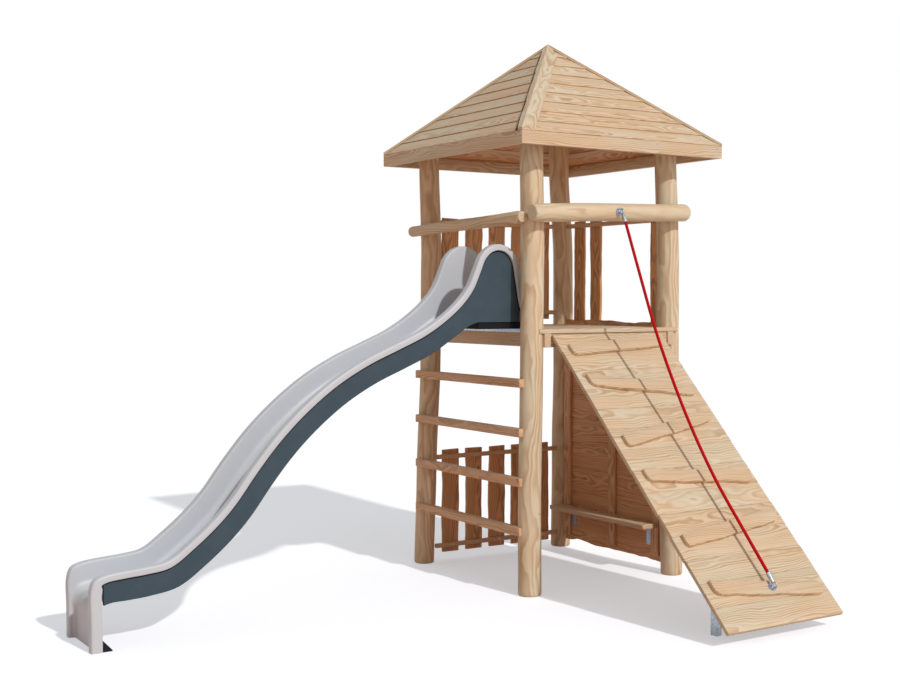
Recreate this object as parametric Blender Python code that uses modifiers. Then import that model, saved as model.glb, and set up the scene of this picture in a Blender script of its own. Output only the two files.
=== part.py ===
"""Wooden play tower with a plastic slide, a climbing ramp with a rope, and a pyramid roof.

Lengths are metres, +Z is up. The model is laid out round the centre of the tower: the slide leaves
toward -X and the ramp toward -Y. An empty carries every piece and puts the middle of the whole
footprint on the origin.
"""

import math

import bmesh
import bpy
from mathutils import Matrix, Vector

CLEARANCE = 0.0003
# How deep the members of one fused piece run into each other, and how long a piece is made before a trim
JOIN_DEPTH = 0.001
TRIM_REACH = 0.10

# Deck, joists and beams
DECK_TOP = 1.484
DECK_THICKNESS = 0.024
DECK_HALF_X = 0.506
DECK_HALF_Y = 0.610
DECK_EDGE = 0.002
JOIST_WIDTH = 0.043
JOIST_HEIGHT = 0.077
JOIST_SETBACK = 0.034
BEAM_DEPTH = 0.045
BEAM_SETBACK = 0.010
EDGE_PLATE_THICKNESS = 0.005
EDGE_PLATE_HEIGHT = 0.021
EDGE_PLATE_END_GAP = 0.090
EDGE_PLATE_EDGE = 0.0008

# Log posts: where their axes meet the ground beside the deck, and their lean toward its middle
POST_X = DECK_HALF_X + 0.0253
POST_Y = DECK_HALF_Y - 0.0651
POST_LEAN_X = 0.0133
POST_LEAN_Y = 0.0071
POST_RADII = {"front": 0.065, "right": 0.065, "back": 0.065, "left": 0.0625}
# The natural bow of each log: offsets along BOW_DIRECTION at even steps from the ground up
POST_BOWS = {
    "front": (0.0055, 0.0005, 0.0048, 0.0035, -0.0070),
    "right": (-0.0025, -0.0120, -0.0150, -0.0080, -0.0185),
    "back": (-0.0080, 0.0020, 0.0150, 0.0155, -0.0110),
    "left": (-0.0150, -0.0080, 0.0065, 0.0010, -0.0200),
}
BOW_DIRECTION = Vector((0.843, -0.538, 0.0))
LOG_RIPPLE = 0.0012
LOG_SIDES = 16
LOG_STEP = 0.16
GROUND_CUT = 0.05

# Ladder rungs let into the two posts on the slide side, spaced evenly
RUNG_COUNT = 4
FIRST_RUNG = 0.359
LAST_RUNG_DROP = 0.299
RUNG_HEIGHT = 0.048
RUNG_DEPTH = 0.045
RUNG_OVERHANG = 0.011
RUNG_OUT = 0.075
RUNG_EDGE = 0.003

# Log rails
RAMP_RAIL_OVER_DECK = 0.656
RAMP_RAIL_RISE = 0.034
RAMP_RAIL_RADIUS = 0.050
RAMP_RAIL_START_OVERHANG = 0.052
RAMP_RAIL_END_OVERHANG = 0.026
SLIDE_RAIL_OVER_DECK = 0.601
SLIDE_RAIL_RISE = 0.034
SLIDE_RAIL_RADIUS = 0.034
SLIDE_RAIL_START_OVERHANG = 0.030
SLIDE_RAIL_END_OVERHANG = 0.075
SADDLE_DEPTH = 0.005
RAIL_STEP = 0.11
RAIL_WAVE = 0.003
# How far along the last radius of a rail the sections of its rounded end lie
ROUNDED_END = (0.45, 0.80, 0.97)

# Roof
EAVE_OVERHANG_X = 0.1933
EAVE_OVERHANG_Y = 0.1966
HEADROOM = 1.0645
ROOF_RISE = 0.6266
FASCIA_HEIGHT = 0.0708
FASCIA_THICKNESS = 0.028
FASCIA_EDGE = 0.0015
ROOF_THICKNESS = 0.018
ROOF_COURSES = 9
COURSE_LAP = 0.007
HIP_BOARD_WIDTH = 0.068
HIP_BOARD_THICKNESS = 0.012
HIP_BOARD_WAVE = 0.004
HIP_BOARD_STEP = 0.12

# Picket fences
PICKET_WIDTH = 0.120
PICKET_THICKNESS = 0.018
PICKET_WAVE = 0.004
PICKET_STEP = 0.11
PICKET_SLANT = 0.006
FENCE_RAIL_HEIGHT = 0.028
FENCE_RAIL_DEPTH = 0.026
BACK_FENCE_PICKETS = 5
BACK_FENCE_PITCH = 0.1775
LOWER_FENCE_BOTTOM = 0.050
LOWER_FENCE_TOP = 0.705
LOWER_FENCE_RAILS = (0.100, 0.660)
UPPER_FENCE_BOTTOM_GAP = 0.034
UPPER_FENCE_HEIGHT = 0.642
UPPER_FENCE_RAIL_INSETS = (0.045, 0.033)
# The wall side's pickets: how far in from the post at their own end, and their width
RAMP_END_PICKETS = ((0.1439, 0.122),)
BACK_END_PICKETS = ((0.3524, 0.101), (0.1859, 0.102))
WALL_FENCE_LAP = 0.102

# Board wall with its battens and bench
WALL_THICKNESS = 0.018
WALL_BOTTOM = 0.064
WALL_OVER_DECK = 0.028
WALL_END_GAP = 0.077
WALL_WAVE = 0.010
WALL_STEP = 0.12
BATTEN_WIDTH = 0.070
BATTEN_THICKNESS = 0.020
BATTEN_RAISE = 0.030
BATTEN_INSET = 0.001
MIDDLE_BATTEN_Y = -0.025
BENCH_TOP = 0.296
BENCH_THICKNESS = 0.028
BENCH_DEPTH = 0.116
BENCH_EDGE = 0.004
BRACKET_WIDTH = 0.045
BRACKET_THICKNESS = 0.004
BRACKET_DROP = 0.115
BRACKET_REACH = 0.116
BRACKET_INSET = 0.098

# Ramp
RAMP_ANGLE = math.radians(45.0)
RAMP_LEFT_GAP = 0.009
RAMP_RIGHT_GAP = 0.059
RAMP_THICKNESS = 0.021
RAMP_END_HEIGHT = 0.078
RAMP_WAVE = 0.004
RAMP_STEP = 0.14
RAMP_TUCK = 0.004
STRINGER_LEFT_INSET = 0.150
STRINGER_RIGHT_INSET = 0.135
STRINGER_WIDTH = 0.066
STRINGER_THICKNESS = 0.045
STRINGER_SETBACK = 0.036
STRINGER_EDGE = 0.002
RAMP_FOOT_SIZE = 0.040
RAMP_FOOT_SETBACK = 0.270
RAMP_FOOT_EDGE = 0.002
CLEAT_THICKNESS = 0.022
CLEAT_WIDTH = 0.078
CLEAT_STEP = 0.10
CLEAT_WAVE = 0.006
CLEAT_EDGE = 0.003
# Each cleat's lower edge: how far below the deck its left end, middle and right end lie
CLEATS = (
    (0.179, 0.151, 0.129),
    (0.401, 0.459, 0.509),
    (0.834, 0.762, 0.687),
    (1.057, 1.096, 1.125),
    (1.472, 1.426, 1.385),
    (1.747, 1.802, 1.837),
)
CLEAT_LEFT_INSET = 0.052
CLEAT_RIGHT_INSET = 0.040

# Climbing rope and the eye fittings at its ends
ROPE_DIAMETER = 0.017
ROPE_X = -0.012
# The rope's middle points; its ends run straight out of the ferrules
ROPE_ROUTE = (
    (ROPE_X, -0.870, 1.782),
    (ROPE_X, -0.996, 1.492),
    (ROPE_X, -1.127, 1.240),
    (ROPE_X, -1.277, 0.989),
    (ROPE_X, -1.466, 0.723),
    (ROPE_X, -1.665, 0.494),
)
ROPE_STEP = 0.045
EYE_PLATE_DIAMETER = 0.045
EYE_PLATE_THICKNESS = 0.004
EYE_RING_RADIUS = 0.014
EYE_WIRE_DIAMETER = 0.008
FERRULE_DIAMETER = 0.024
FERRULE_LENGTH = 0.055
FERRULE_TAPER = 0.7
ROPE_LEAD = 0.015
TOP_FERRULE_DROP = math.radians(63.0)
FOOT_FERRULE_LIFT = math.radians(5.0)
ROPE_ANCHOR_DROP = 1.765

# Slide: its own frame has +X down the slide from the deck's edge and the middle of the bed at Y = 0
SLIDE_FROM_POST = 0.2974
SLIDE_WIDTH = 0.407
SLIDE_REACH = 2.460
SEAT_BASE_HEIGHT = 0.0375
SEAT_BASE_OUT = 0.284
SEAT_BASE_IN = 0.066
SEAT_BASE_WIDTH = 0.365
SEAT_BASE_EDGE = 0.003
BED_THICKNESS = 0.012
LIP_WIDTH = 0.050
LIP_DEPTH = 0.035
LIP_ROUND = 0.011
LEG_DEPTH = 0.055
CHUTE_DEPTH = 0.131
BED_FILLET = 0.050
LEAST_WALL = 0.002
APRON_RECESS = 0.030
RUN_OUT_RIM = 0.396
# The hoop beside the seat: distance out from the deck's edge and height over the seat
HOOP = (
    (-0.019, 0.038),
    (-0.014, 0.085),
    (-0.006, 0.142),
    (0.012, 0.240),
    (0.032, 0.330),
    (0.066, 0.382),
    (0.116, 0.413),
    (0.172, 0.420),
    (0.230, 0.402),
    (0.281, 0.354),
    (0.318, 0.275),
    (0.362, 0.185),
    (0.425, 0.110),
)
# The slope between hoop and run-out, as shares of its run and of its drop
SLOPE = (
    (0.060, 0.065),
    (0.138, 0.128),
    (0.235, 0.184),
    (0.343, 0.244),
    (0.456, 0.326),
    (0.564, 0.432),
    (0.656, 0.546),
    (0.736, 0.669),
    (0.803, 0.784),
    (0.856, 0.857),
    (0.934, 0.942),
)
# The run-out's rim: distance back from the front face and height over the ground
RUN_OUT = (
    (0.376, RUN_OUT_RIM),
    (0.277, 0.380),
    (0.166, 0.372),
    (0.070, 0.361),
    (0.020, 0.340),
    (0.000, 0.288),
    (0.000, 0.150),
    (0.000, 0.000),
)
FRONT_STATIONS = 5
# Where the bed turns down into the apron: distance behind the apron and below the run-out's bed
APRON_TURN = ((0.064, 0.004), (0.022, 0.020), (0.000, 0.062))
SEAT_NOSE = (0.359, -0.021)
SEAT_FLAT = 0.294
SIDE_PANEL_THICKNESS = 0.024
SIDE_PANEL_TOP_GAP = 0.004
SIDE_PANEL_FRONT = 0.066
SIDE_PANEL_FOOT = 0.200
SIDE_PANEL_RISE = 0.050
GUSSET_LENGTH = 0.048
GUSSET_HEIGHT = 0.058
GUSSET_TOE = 0.006
GUSSET_THICKNESS = 0.030

# Sizes that follow from those above
EAVE_X = POST_X + EAVE_OVERHANG_X
EAVE_Y = POST_Y + EAVE_OVERHANG_Y
EAVE_TOP = DECK_TOP + HEADROOM
POST_BOW_STEP = (EAVE_TOP + GROUND_CUT) / (len(POST_BOWS["front"]) - 1)
RUNG_PITCH = (DECK_TOP - LAST_RUNG_DROP - FIRST_RUNG) / (RUNG_COUNT - 1)
RUNG_HEIGHTS = [FIRST_RUNG + RUNG_PITCH * i for i in range(RUNG_COUNT)]
RUNG_HALF_LENGTH = POST_Y + RUNG_OVERHANG
RUNG_FACE_X = POST_X + RUNG_OUT
RAMP_RAIL_HEIGHT = DECK_TOP + RAMP_RAIL_OVER_DECK
RAMP_RAIL_START = -(POST_X + RAMP_RAIL_START_OVERHANG)
RAMP_RAIL_END = POST_X + RAMP_RAIL_END_OVERHANG
SLIDE_RAIL_HEIGHT = DECK_TOP + SLIDE_RAIL_OVER_DECK
SLIDE_RAIL_START = -(POST_Y + SLIDE_RAIL_START_OVERHANG)
SLIDE_RAIL_END = POST_Y + SLIDE_RAIL_END_OVERHANG
UPPER_FENCE_BOTTOM = DECK_TOP + UPPER_FENCE_BOTTOM_GAP
UPPER_FENCE_TOP = UPPER_FENCE_BOTTOM + UPPER_FENCE_HEIGHT
UPPER_FENCE_RAILS = (
    UPPER_FENCE_BOTTOM + UPPER_FENCE_RAIL_INSETS[0],
    UPPER_FENCE_TOP - UPPER_FENCE_RAIL_INSETS[1],
)
WALL_FENCE_PICKETS = [(inset - POST_Y, width) for inset, width in RAMP_END_PICKETS]
WALL_FENCE_PICKETS += [(POST_Y - inset, width) for inset, width in BACK_END_PICKETS]
WALL_TOP = DECK_TOP + WALL_OVER_DECK
WALL_HALF_LENGTH = POST_Y - WALL_END_GAP
WALL_FENCE_BOTTOM = WALL_TOP - WALL_FENCE_LAP
BENCH_HALF_LENGTH = WALL_HALF_LENGTH - 10 * CLEARANCE
BRACKET_OFFSET = WALL_HALF_LENGTH - BRACKET_INSET
DECK_BOTTOM = DECK_TOP - DECK_THICKNESS
JOIST_TOP = DECK_BOTTOM - CLEARANCE
JOIST_BOTTOM = JOIST_TOP - JOIST_HEIGHT
JOIST_OUTER = DECK_HALF_X - JOIST_SETBACK
JOIST_INNER = JOIST_OUTER - JOIST_WIDTH
WALL_FACE = DECK_HALF_X + CLEARANCE
BATTEN_FACE = WALL_FACE - BATTEN_THICKNESS
SEAT_BASE_BOTTOM = DECK_TOP + CLEARANCE
SEAT_BASE_TOP = SEAT_BASE_BOTTOM + SEAT_BASE_HEIGHT
SEAT_HEIGHT = SEAT_BASE_TOP + CLEARANCE + BED_THICKNESS
SLIDE_CENTRE_Y = SLIDE_FROM_POST - POST_Y
RAMP_LEFT = RAMP_LEFT_GAP - JOIST_INNER
RAMP_RIGHT = JOIST_INNER - RAMP_RIGHT_GAP
STRINGER_CENTRES = (RAMP_LEFT + STRINGER_LEFT_INSET, RAMP_RIGHT - STRINGER_RIGHT_INSET)
CLEAT_LEFT = RAMP_LEFT + CLEAT_LEFT_INSET
CLEAT_RIGHT = RAMP_RIGHT - CLEAT_RIGHT_INSET
RAMP_TOP_Y = -(DECK_HALF_Y - RAMP_TUCK)
RAMP_LENGTH = (DECK_BOTTOM - RAMP_END_HEIGHT) / math.sin(RAMP_ANGLE)


def clear_scene():
    for old in list(bpy.data.objects):
        bpy.data.objects.remove(old, do_unlink=True)


def make_material(name, colour, roughness, metallic=0.0):
    material = bpy.data.materials.new(name)
    material.use_nodes = True
    shader = material.node_tree.nodes["Principled BSDF"]
    shader.inputs["Base Color"].default_value = (*colour, 1.0)
    shader.inputs["Roughness"].default_value = roughness
    shader.inputs["Metallic"].default_value = metallic
    material.diffuse_color = (*colour, 1.0)
    return material


def add_collection(name):
    collection = bpy.data.collections.new(name)
    bpy.context.scene.collection.children.link(collection)
    return collection


clear_scene()
PARTS = add_collection("play_tower_with_slide")
CUTTERS = add_collection("cutters")
TOWER = bpy.data.objects.new("tower_centre", None)
PARTS.objects.link(TOWER)

LOG_WOOD = make_material("debarked_log", (0.62, 0.46, 0.28), 0.6)
BOARD_WOOD = make_material("sawn_board", (0.66, 0.48, 0.29), 0.65)
ROOF_WOOD = make_material("roof_board", (0.60, 0.42, 0.24), 0.65)
STEEL = make_material("zinc_steel", (0.45, 0.48, 0.52), 0.4, 1.0)
CHUTE_PLASTIC = make_material("chute_plastic", (0.60, 0.60, 0.62), 0.35)
PANEL_PLASTIC = make_material("side_panel_plastic", (0.07, 0.09, 0.11), 0.4)
BASE_PLASTIC = make_material("seat_base_plastic", (0.02, 0.02, 0.02), 0.5)
ROPE_FIBRE = make_material("red_rope", (0.52, 0.01, 0.02), 0.7)


def add_object(name, mesh, material, matrix=None):
    """A piece of the tower, carried by the tower's empty."""
    piece = bpy.data.objects.new(name, mesh)
    PARTS.objects.link(piece)
    piece.parent = TOWER
    if matrix is not None:
        piece.matrix_local = matrix
    mesh.name = name
    if material is not None:
        mesh.materials.append(material)
    return piece


def make_guide(piece):
    """Turn a piece into a cutter or a part of a union, which is not a piece of the tower itself."""
    PARTS.objects.unlink(piece)
    CUTTERS.objects.link(piece)
    piece.hide_render = True
    piece.display_type = "WIRE"
    return piece


def combine(piece, other, operation):
    modifier = piece.modifiers.new(operation.lower(), "BOOLEAN")
    modifier.operation = operation
    modifier.solver = "EXACT"
    modifier.object = other


def cut(piece, cutter):
    combine(piece, cutter, "DIFFERENCE")


def fuse(piece, others):
    for other in others:
        combine(piece, make_guide(other), "UNION")
    return piece


def bevel(piece, width, segments=1):
    modifier = piece.modifiers.new("rounded_edges", "BEVEL")
    modifier.width = width
    modifier.segments = segments
    modifier.limit_method = "ANGLE"


def smooth(mesh, angle=40.0):
    mesh.shade_smooth()
    mesh.set_sharp_from_angle(angle=math.radians(angle))


def mesh_from(bm, name):
    bmesh.ops.recalc_face_normals(bm, faces=bm.faces)
    mesh = bpy.data.meshes.new(name)
    bm.to_mesh(mesh)
    bm.free()
    return mesh


def block(name, low, high, material, edge=0.0, frame=Matrix()):
    """A board or bar between two opposite corners in a frame, with its origin at its middle."""
    low = Vector(low)
    high = Vector(high)
    bm = bmesh.new()
    bmesh.ops.create_cube(bm, size=1.0)
    bmesh.ops.scale(bm, vec=high - low, verts=bm.verts)
    place = frame @ Matrix.Translation((low + high) / 2)
    piece = add_object(name, mesh_from(bm, name), material, place)
    if edge:
        bevel(piece, edge)
    return piece


def curve_to_mesh(curve, name):
    """The closed mesh of a curve, with its caps welded to its sides."""
    guide = bpy.data.objects.new(name, curve)
    CUTTERS.objects.link(guide)
    evaluated = guide.evaluated_get(bpy.context.evaluated_depsgraph_get())
    mesh = bpy.data.meshes.new_from_object(evaluated)
    bpy.data.objects.remove(guide)
    bm = bmesh.new()
    bm.from_mesh(mesh)
    bmesh.ops.remove_doubles(bm, verts=bm.verts, dist=0.00001)
    bpy.data.meshes.remove(mesh)
    return mesh_from(bm, name)


def prism_mesh(outline, thickness, name):
    """A flat outline in the XY plane, given a thickness that is centred on that plane."""
    curve = bpy.data.curves.new(name, "CURVE")
    curve.dimensions = "2D"
    curve.fill_mode = "BOTH"
    curve.extrude = thickness / 2
    spline = curve.splines.new("POLY")
    spline.points.add(len(outline) - 1)
    for point, (x, y) in zip(spline.points, outline):
        point.co = (x, y, 0.0, 1.0)
    spline.use_cyclic_u = True
    return curve_to_mesh(curve, name)


def tube_mesh(points, radii, sides, name):
    """A round bar through the points, with a radius of its own at each."""
    curve = bpy.data.curves.new(name, "CURVE")
    curve.dimensions = "3D"
    curve.bevel_depth = 1.0
    curve.bevel_resolution = (sides - 4) // 2
    curve.use_fill_caps = True
    spline = curve.splines.new("POLY")
    spline.points.add(len(points) - 1)
    for point, co, radius in zip(spline.points, points, radii):
        point.co = (*co, 1.0)
        point.radius = radius
    mesh = curve_to_mesh(curve, name)
    smooth(mesh)
    return mesh


def clip(mesh, point, normal):
    """Cut off what lies on the normal's side of a plane, and close the cut."""
    bm = bmesh.new()
    bm.from_mesh(mesh)
    everything = bm.verts[:] + bm.edges[:] + bm.faces[:]
    result = bmesh.ops.bisect_plane(
        bm, geom=everything, dist=0.000001, plane_co=point, plane_no=normal, clear_outer=True
    )
    rim = [item for item in result["geom_cut"] if isinstance(item, bmesh.types.BMEdge)]
    bmesh.ops.holes_fill(bm, edges=rim)
    bmesh.ops.recalc_face_normals(bm, faces=bm.faces)
    bm.to_mesh(mesh)
    bm.free()


def waver(position, phase, amount):
    """A natural edge's or a log's slow waves along its length."""
    first = math.sin(3.1 * position + 2.3 * phase)
    second = math.sin(7.7 * position + 4.1 * phase + 1.0)
    return amount * (0.65 * first + 0.35 * second)


def steps_between(start, end, step):
    count = max(2, round(abs(end - start) / step))
    return [start + (end - start) * i / count for i in range(count + 1)]


def turn(angle, location=(0.0, 0.0, 0.0)):
    return Matrix.Translation(location) @ Matrix.Rotation(angle, 4, "Z")


def upright(y):
    """Stands a flat outline up in the XZ plane, at a place along Y."""
    return Matrix.Translation((0.0, y, 0.0)) @ Matrix.Rotation(math.pi / 2, 4, "X")


# Posts
CORNERS = {
    "front": (-1, -1),
    "right": (1, -1),
    "back": (1, 1),
    "left": (-1, 1),
}


def post_axis(corner, height):
    """The middle of a post at a height, with its lean and its bow."""
    side_x, side_y = CORNERS[corner]
    x = side_x * (POST_X - POST_LEAN_X * height)
    y = side_y * (POST_Y - POST_LEAN_Y * height)
    bows = POST_BOWS[corner]
    step = min(max((height + GROUND_CUT) / POST_BOW_STEP, 0.0), len(bows) - 1.001)
    index = int(step)
    share = step - index
    eased = share * share * (3.0 - 2.0 * share)
    return Vector((x, y, height)) + BOW_DIRECTION * (bows[index] * (1.0 - eased) + bows[index + 1] * eased)


def post_mesh(corner, growth, name):
    """A post's log from below the ground to above the roof, grown by a clearance."""
    side_x, side_y = CORNERS[corner]
    heights = steps_between(-GROUND_CUT, EAVE_TOP + ROOF_RISE / 2, LOG_STEP)
    points = [post_axis(corner, height) for height in heights]
    radii = []
    for height in heights:
        radii.append(POST_RADII[corner] + waver(height, 3.0 * side_x - side_y, LOG_RIPPLE) + growth)
    return tube_mesh(points, radii, LOG_SIDES, name)


def roof_slope(half_depth):
    return math.atan2(ROOF_RISE, half_depth)


def cut_under_roof(mesh, side_x, side_y):
    """Trim a post's top to the undersides of the two roof panels over it."""
    apex = Vector((0.0, 0.0, EAVE_TOP + CLEARANCE + ROOF_RISE))
    for outward, half_depth in ((Vector((side_x, 0, 0)), EAVE_X), (Vector((0, side_y, 0)), EAVE_Y)):
        slope = roof_slope(half_depth)
        normal = outward * math.sin(slope) + Vector((0, 0, math.cos(slope)))
        clip(mesh, apex - normal * (ROOF_THICKNESS + CLEARANCE), normal)


def build_posts():
    """The four posts; returns the grown logs that cut what bears against them."""
    clearances = {}
    for corner, (side_x, side_y) in CORNERS.items():
        name = corner + "_post"
        mesh = post_mesh(corner, 0.0, name)
        clip(mesh, (0.0, 0.0, 0.0), (0.0, 0.0, -1.0))
        cut_under_roof(mesh, side_x, side_y)
        post = add_object(name, mesh, LOG_WOOD)
        notch_post(post, corner, "deck", DECK_HALF_X, DECK_BOTTOM, DECK_TOP)
        notch_post(post, corner, "joist", JOIST_OUTER, JOIST_BOTTOM, DECK_BOTTOM)
        if side_x < 0:
            for index, height in enumerate(RUNG_HEIGHTS):
                low, high = rung_corners(height)
                grown = Vector((CLEARANCE, CLEARANCE, CLEARANCE))
                housing = block(f"{corner}_rung_notch_{index + 1}", low - grown, high + grown, None)
                cut(post, make_guide(housing))
        clearance = add_object(corner + "_post_clearance", post_mesh(corner, CLEARANCE, name), None)
        clearances[corner] = make_guide(clearance)
    return clearances


def notch_post(post, corner, use, face_x, bottom, top):
    """Cut away a post's inner side from face_x inward, where the deck or a joist passes it."""
    side_x, side_y = CORNERS[corner]
    reach = 2 * POST_RADII[corner]
    face = side_x * (face_x + CLEARANCE)
    inside = face - side_x * reach
    low = (min(face, inside), side_y * POST_Y - reach, bottom - CLEARANCE)
    high = (max(face, inside), side_y * POST_Y + reach, top + CLEARANCE)
    cut(post, make_guide(block(f"{corner}_{use}_notch", low, high, None)))


# Deck and what carries it
def rung_corners(height):
    low = Vector((-RUNG_FACE_X, -RUNG_HALF_LENGTH, height - RUNG_HEIGHT / 2))
    high = Vector((-RUNG_FACE_X + RUNG_DEPTH, RUNG_HALF_LENGTH, height + RUNG_HEIGHT / 2))
    return low, high


def build_deck():
    low = (-DECK_HALF_X, -DECK_HALF_Y, DECK_BOTTOM)
    high = (DECK_HALF_X, DECK_HALF_Y, DECK_TOP)
    block("deck", low, high, BOARD_WOOD, DECK_EDGE)
    for name, side in (("slide_side_joist", -1), ("wall_side_joist", 1)):
        edges = sorted((side * JOIST_OUTER, side * JOIST_INNER))
        low = (edges[0], -DECK_HALF_Y, JOIST_BOTTOM)
        high = (edges[1], DECK_HALF_Y, JOIST_TOP)
        block(name, low, high, BOARD_WOOD, DECK_EDGE)
    beam_end = JOIST_INNER - CLEARANCE
    beam_face = DECK_HALF_Y - BEAM_SETBACK
    for name, side in (("front_beam", -1), ("back_beam", 1)):
        edges = sorted((side * beam_face, side * (beam_face - BEAM_DEPTH)))
        low = (-beam_end, edges[0], JOIST_BOTTOM)
        high = (beam_end, edges[1], JOIST_TOP)
        block(name, low, high, BOARD_WOOD, DECK_EDGE)
    plate_face = -DECK_HALF_X - CLEARANCE
    plate_end = POST_Y - EDGE_PLATE_END_GAP
    low = (plate_face - EDGE_PLATE_THICKNESS, -plate_end, DECK_TOP - EDGE_PLATE_HEIGHT)
    high = (plate_face, plate_end, DECK_TOP)
    block("deck_edge_plate", low, high, STEEL, EDGE_PLATE_EDGE)


def build_rungs():
    for index, height in enumerate(RUNG_HEIGHTS):
        low, high = rung_corners(height)
        block(f"rung_{index + 1}", low, high, BOARD_WOOD, RUNG_EDGE)


# Log rails
def log_rail_mesh(name, ends, radius, axis, phase):
    """A log with a sawn start and a rounded end; axis gives its middle at a place along it."""
    start, end = ends
    places = steps_between(start, end - radius, RAIL_STEP)
    radii = [radius + waver(place, phase, LOG_RIPPLE) for place in places]
    for share in ROUNDED_END:
        places.append(end - radius + radius * share)
        radii.append(radius * math.sqrt(1.0 - share * share))
    return tube_mesh([axis(place) for place in places], radii, LOG_SIDES, name)


def seat_of_rail(corners, height, axis, share, radius):
    """How far from the tower's middle a rail's own middle lies, let a little into two posts' outer faces."""
    outs = [abs(post_axis(corner, height)[axis]) + POST_RADII[corner] for corner in corners]
    return outs[0] + (outs[1] - outs[0]) * share + radius - SADDLE_DEPTH


def ramp_rail_axis(x):
    share = (x - RAMP_RAIL_START) / (RAMP_RAIL_END - RAMP_RAIL_START)
    height = RAMP_RAIL_HEIGHT + RAMP_RAIL_RISE * (share - 0.5) + waver(x, 0.4, RAIL_WAVE)
    across = (x + POST_X) / (2 * POST_X)
    out = seat_of_rail(("front", "right"), RAMP_RAIL_HEIGHT, 1, across, RAMP_RAIL_RADIUS)
    return Vector((x, waver(x, 1.9, RAIL_WAVE) - out, height))


def slide_rail_axis(y):
    share = (SLIDE_RAIL_END - y) / (SLIDE_RAIL_END - SLIDE_RAIL_START)
    height = SLIDE_RAIL_HEIGHT + SLIDE_RAIL_RISE * (share - 0.5) + waver(y, 2.8, RAIL_WAVE)
    across = (y + POST_Y) / (2 * POST_Y)
    out = seat_of_rail(("front", "left"), SLIDE_RAIL_HEIGHT, 0, across, SLIDE_RAIL_RADIUS)
    return Vector((waver(y, 0.2, RAIL_WAVE) - out, y, height))


def build_log_rails(post_clearances):
    ends = (RAMP_RAIL_START, RAMP_RAIL_END)
    mesh = log_rail_mesh("ramp_rail", ends, RAMP_RAIL_RADIUS, ramp_rail_axis, 0.7)
    ramp_rail = add_object("ramp_rail", mesh, LOG_WOOD)
    cut(ramp_rail, post_clearances["front"])
    cut(ramp_rail, post_clearances["right"])
    ends = (SLIDE_RAIL_START, SLIDE_RAIL_END)
    mesh = log_rail_mesh("slide_rail", ends, SLIDE_RAIL_RADIUS, slide_rail_axis, 1.3)
    slide_rail = add_object("slide_rail", mesh, LOG_WOOD)
    cut(slide_rail, post_clearances["front"])
    cut(slide_rail, post_clearances["left"])


# Roof: each side is made in a frame of its own with +Y outward and +X along its eave
ROOF_SIDES = {
    "slide_side": (math.pi / 2, EAVE_X, EAVE_Y),
    "ramp_side": (math.pi, EAVE_Y, EAVE_X),
    "wall_side": (-math.pi / 2, EAVE_X, EAVE_Y),
    "fence_side": (0.0, EAVE_Y, EAVE_X),
}


def hip_normal(half_depth, half_width, end):
    """The normal of the upright plane over a hip, pointing out of this side's panel."""
    return Vector((end * half_depth, -half_width, 0.0)).normalized()


def clip_to_hips(mesh, half_depth, half_width):
    for end in (-1, 1):
        normal = hip_normal(half_depth, half_width, end)
        clip(mesh, -normal * CLEARANCE / 2, normal)


def roof_profile(half_depth):
    """A panel's section: the underside and, over it, the lapped courses from the apex down."""
    slope = roof_slope(half_depth)
    eave = EAVE_TOP + CLEARANCE
    down = Vector((math.cos(slope), -math.sin(slope)))
    out = Vector((math.sin(slope), math.cos(slope)))
    apex = Vector((0.0, eave + ROOF_RISE))
    length = math.hypot(half_depth, ROOF_RISE)
    points = []
    for course in range(ROOF_COURSES):
        top = apex + down * (length * course / ROOF_COURSES) - out * COURSE_LAP
        butt = apex + down * (length * (course + 1) / ROOF_COURSES)
        points.append(top)
        points.append(butt)
    foot = ROOF_THICKNESS / math.sin(slope)
    points.append(Vector((half_depth - foot, eave)))
    points.append(Vector((0.0, apex.y - ROOF_THICKNESS / math.cos(slope))))
    return [tuple(point) for point in points]


def build_roof_panel(name, angle, half_depth, half_width):
    mesh = prism_mesh(roof_profile(half_depth), 2 * half_width, name)
    mesh.transform(Matrix(((0, 0, 1, 0), (1, 0, 0, 0), (0, 1, 0, 0), (0, 0, 0, 1))))
    clip_to_hips(mesh, half_depth, half_width)
    add_object(name, mesh, ROOF_WOOD, turn(angle))


def build_fascia(name, angle, half_depth, half_width):
    bm = bmesh.new()
    bmesh.ops.create_cube(bm, size=1.0)
    bmesh.ops.scale(bm, vec=(2 * half_width, FASCIA_THICKNESS, FASCIA_HEIGHT), verts=bm.verts)
    middle = (0.0, half_depth - FASCIA_THICKNESS / 2, EAVE_TOP - FASCIA_HEIGHT / 2)
    bmesh.ops.translate(bm, vec=middle, verts=bm.verts)
    mesh = mesh_from(bm, name)
    for end in (-1, 1):
        normal = Vector((end, -1.0, 0.0)).normalized()
        clip(mesh, Vector((end * half_width, half_depth, 0.0)) - normal * CLEARANCE / 2, normal)
    fascia = add_object(name, mesh, BOARD_WOOD, turn(angle))
    bevel(fascia, FASCIA_EDGE)


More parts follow.
